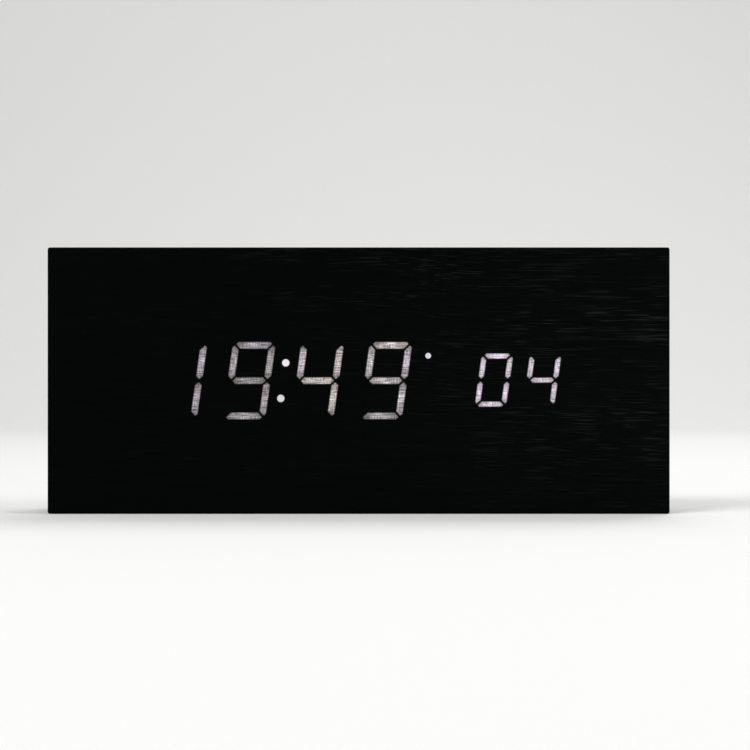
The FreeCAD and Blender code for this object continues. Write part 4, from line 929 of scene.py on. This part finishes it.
def black_felt():
    """Felt with a fine uneven nap."""
    made, shader = material("black_felt", FELT_BLACK, 0.95)
    tree = made.node_tree
    nap = noise(tree, place_of(tree), 5200.0, 3.0, 0.7)
    feed(shader, {
        "Base Color": mottled(tree, nap, FELT_BLACK, 0.4, 2.4), "Normal": bump(tree, nap, FELT_NAP),
    })
    return made


def microphone_felt():
    """A round of felt glued over the sound hole of the microphone."""
    low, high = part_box("sound_microphone")
    radius = (high.x - low.x) / 2 * FELT_SHARE
    bm = bmesh.new()
    bmesh.ops.create_circle(bm, cap_ends=True, segments=32, radius=radius)
    bmesh.ops.rotate(bm, verts=bm.verts, matrix=Matrix.Rotation(-math.pi / 2, 3, "X"))
    grown = bmesh.ops.extrude_face_region(bm, geom=list(bm.faces), use_keep_orig=True)["geom"]
    bmesh.ops.translate(bm, verts=corners_in(grown), vec=(0, FELT_THICK, 0))
    outer = [edge for edge in bm.edges if min(vert.co.y for vert in edge.verts) > FELT_THICK / 2]
    rim = [edge for edge in outer if edge.calc_face_angle(0.0) > 1.0]
    bmesh.ops.bevel(bm, geom=rim, offset=FELT_ROUND, affect="EDGES", segments=2, profile=0.5, material=-1)
    bmesh.ops.translate(bm, verts=bm.verts, vec=((low.x + high.x) / 2, high.y, (low.z + high.z) / 2))
    bmesh.ops.recalc_face_normals(bm, faces=bm.faces)
    made = piece_from(bm, "microphone_felt", black_felt())
    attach(made, "case")


microphone_felt()


def socket_contacts():
    """Gold strips pushed out of the underside of the socket's tongue, one beside another."""
    low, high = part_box("usb_socket_tongue")
    tip = [vert.co for vert in nodes["usb_socket_tongue"].data.vertices if vert.co.y > high.y - 1e-5]
    left, right = min(co.x for co in tip), max(co.x for co in tip)
    under = min(co.z for co in tip)
    pitch, depth = (right - left) / (SOCKET_PADS + 0.5), high.y - low.y
    bm = bmesh.new()
    for i in range(SOCKET_PADS):
        strip = bmesh.ops.create_grid(bm, x_segments=1, y_segments=1, size=0.5)["verts"]
        bmesh.ops.scale(bm, verts=strip, vec=(pitch * PAD_WIDTH_SHARE, depth * PAD_LENGTH_SHARE, 1.0))
        x = (left + right) / 2 + pitch * (i - (SOCKET_PADS - 1) / 2)
        bmesh.ops.translate(bm, verts=strip, vec=(x, low.y + depth * 0.7, under))
    grown = bmesh.ops.extrude_face_region(bm, geom=list(bm.faces))["geom"]
    bmesh.ops.translate(bm, verts=corners_in(grown), vec=(0, 0, -PAD_THICK))
    bmesh.ops.recalc_face_normals(bm, faces=bm.faces)
    gold_plating = metal("gold_plating", PAD_GOLD, rough=0.22, depth=0.000002)
    made = piece_from(bm, "socket_contacts", gold_plating)
    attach(made, "case")


socket_contacts()


# ---------------------------------------------------------------- the cells
# Four cells in plain metallic sleeves.  The sleeve is shrunk over the rim at both ends, and a slate
# band round the top end tells it from the flat end.
SLEEVE_SILVER = (0.33, 0.335, 0.35)
SLEEVE_SLATE = (0.035, 0.045, 0.065)
END_PLATE = (0.66, 0.66, 0.65)
BAND_WIDTH = 0.0062
SLEEVE_END = 0.0013
SLEEVE_RIM = (0.80, 0.82)
SLEEVE_ROUGH = 0.36
SLEEVE_DEPTH = 0.000004


def cell_sleeve(node, top_side):
    """Sleeve, band and bare ends by the distance from the top end; top_side is its side along X."""
    low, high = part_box(node)
    made, shader = material(f"{node}_sleeve", SLEEVE_SILVER, 0.3, metallic=1.0)
    tree = made.node_tree
    top = Vector((high.x if top_side > 0 else low.x, (low.y + high.y) / 2, (low.z + high.z) / 2))
    from_top = place_of(tree, shift=-top)
    from_axis = place_of(tree, scale=(0.0, 1.0, 1.0), shift=(0.0, -top.y, -top.z))
    depth = math_node(tree, "MULTIPLY", parts_of(tree, from_top)["X"], -top_side)
    out = add(tree, "VectorMath", {0: from_axis}, operation="LENGTH").outputs["Value"]
    radius, length = (high.z - low.z) / 2, high.x - low.x
    band = ramp(tree, depth, BAND_WIDTH, BAND_WIDTH + 0.0001, 1.0, 0.0)
    bare_top = ramp(tree, depth, SLEEVE_END, SLEEVE_END - 0.0002)
    bare_end = ramp(tree, depth, length - 0.0003, length - 0.0001)
    inside_rim = ramp(tree, out, radius * SLEEVE_RIM[0], radius * SLEEVE_RIM[1], 1.0, 0.0)
    bare = math_node(tree, "MULTIPLY", math_node(tree, "MAXIMUM", bare_top, bare_end), inside_rim)
    worked = use_group(tree, drawn_metal, {"Vector": from_top, "Rough": SLEEVE_ROUGH})
    sleeve = mottled(tree, ramp(tree, worked["Tone"], 0.3, 0.75), SLEEVE_SILVER, 1.1, 0.85)
    sleeve = blend_colours(tree, band, sleeve, SLEEVE_SLATE)
    feed(shader, {
        "Base Color": blend_colours(tree, bare, sleeve, END_PLATE),
        "Roughness": worked["Roughness"],
        "Metallic": ramp(tree, band, 0.0, 1.0, 1.0, 0.35),
        "Normal": bump(tree, worked["Height"], SLEEVE_DEPTH),
    })
    return made


for cell, top_side in (("aaa_cell_1", -1), ("aaa_cell_2", 1), ("aaa_cell_3", -1), ("aaa_cell_4", 1)):
    dress([cell], cell_sleeve(cell, top_side))


# ---------------------------------------------------------------- the contacts and the battery leads
# Nickel-plated plates and coiled springs join the four cells in a row, and two soft leads run from the
# ends of the row to the control board.
NICKEL = (0.70, 0.69, 0.65)
SPRING_GREY = (0.63, 0.62, 0.585)
LEAD_RED = (0.46, 0.018, 0.016)
LEAD_BLACK = (0.016, 0.016, 0.017)

nickel_plate = metal("nickel_plate", NICKEL, rough=0.22, depth=0.000005, turn=(0.0, math.pi / 2, 0.0))
spring_wire = metal("spring_wire", SPRING_GREY, rough=0.26, depth=0.000003)
red_insulation = moulded("red_insulation", LEAD_RED, grain=700.0, rough=(0.46, 0.36), depth=0.00002)
black_insulation = moulded("black_insulation", LEAD_BLACK, grain=700.0, rough=(0.46, 0.36), depth=0.00002)
dress(["terminal_positive", "terminal_negative"], nickel_plate)
dress(["cell_link_1_2", "cell_link_2_3", "cell_link_3_4"], nickel_plate)
dress(["contact_springs"], spring_wire)
dress(["battery_lead_red"], red_insulation)
dress(["battery_lead_black"], black_insulation)


# ---------------------------------------------------------------- the rear cover, its door and the buttons
# One black moulding with a fine sparked skin closes the back.  The battery door hinges at its lower
# edge and snaps shut at the top, and three satin buttons stand in wells over the switches.
COVER_BLACK = (0.0165, 0.0165, 0.0172)
BUTTON_BLACK = (0.024, 0.024, 0.0255)
PAINT_WHITE = (0.55, 0.55, 0.54)
PAINT_REACH = 0.00008
DOOR_SHIFT = (0.02, 0.05, 0.013)

cover_moulding = moulded("cover_moulding", COVER_BLACK, grain=2300.0, rough=(0.56, 0.50), depth=0.00005)
door_moulding = moulded(
    "door_moulding", COVER_BLACK, grain=2300.0, rough=(0.57, 0.50), depth=0.00005, shift=DOOR_SHIFT
)
dress(["rear_cover"], cover_moulding)
dress(["battery_door"], door_moulding)


def signed_button():
    """Satin moulding, with pale paint rolled over the top of the raised sign on each button."""
    made = moulded("button_moulding", BUTTON_BLACK, grain=3400.0, rough=(0.42, 0.34), depth=0.000015)
    tree = made.node_tree
    shader = tree.nodes["Principled BSDF"]
    bare = shader.inputs["Base Color"].links[0].from_socket
    sign_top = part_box("button_set")[1].y
    painted = math_node(tree, "GREATER_THAN", parts_of(tree, place_of(tree))["Y"], sign_top - PAINT_REACH)
    feed(shader, {"Base Color": blend_colours(tree, painted, bare, PAINT_WHITE)})
    return made


dress(["button_set", "button_up", "button_down"], signed_button())


# ---------------------------------------------------------------- the screws
# Zinc-plated screws with cross recesses: four through the cover into the corner blocks, and four that
# hold each board to its posts.  The recess and the side of the head are rougher, and painted dark as shade.
ZINC = (0.56, 0.56, 0.565)
# The colour of the painted shade in the screw recesses and down the sides of the heads.
ZINC_SHADE = (0.075, 0.075, 0.078)
DULL_ROUGH = 0.6
UNSHADED_REACH = 0.00032


def zinc_plate(node, head_side):
    """Zinc with painted shade: dark and rougher except near the top of the head; head_side is the side along
    Y that the head faces.
    """
    low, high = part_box(node)
    made = metal(f"{node}_zinc", ZINC, rough=0.34, depth=0.000008, turn=(0.0, 0.0, 0.6))
    tree = made.node_tree
    shader = tree.nodes["Principled BSDF"]
    bright, rough = (shader.inputs[name].links[0].from_socket for name in ("Base Color", "Roughness"))
    head_top = high.y if head_side > 0 else low.y
    below = math_node(tree, "SUBTRACT", parts_of(tree, place_of(tree))["Y"], head_top)
    # Painted shade: the zinc is darkened in the recess and down the side of the head, which are also made
    # rougher.
    dull = ramp(tree, math_node(tree, "ABSOLUTE", below), UNSHADED_REACH, UNSHADED_REACH * 1.5)
    feed(shader, {
        "Base Color": blend_colours(tree, dull, bright, ZINC_SHADE),
        "Roughness": math_node(tree, "MAXIMUM", rough, ramp(tree, dull, 0.0, 1.0, 0.0, DULL_ROUGH)),
    })
    return made


for screws, head_side in (("rear_cover_screws", 1), ("display_screws", 1), ("control_board_screws", -1)):
    dress([screws], zinc_plate(screws, head_side))
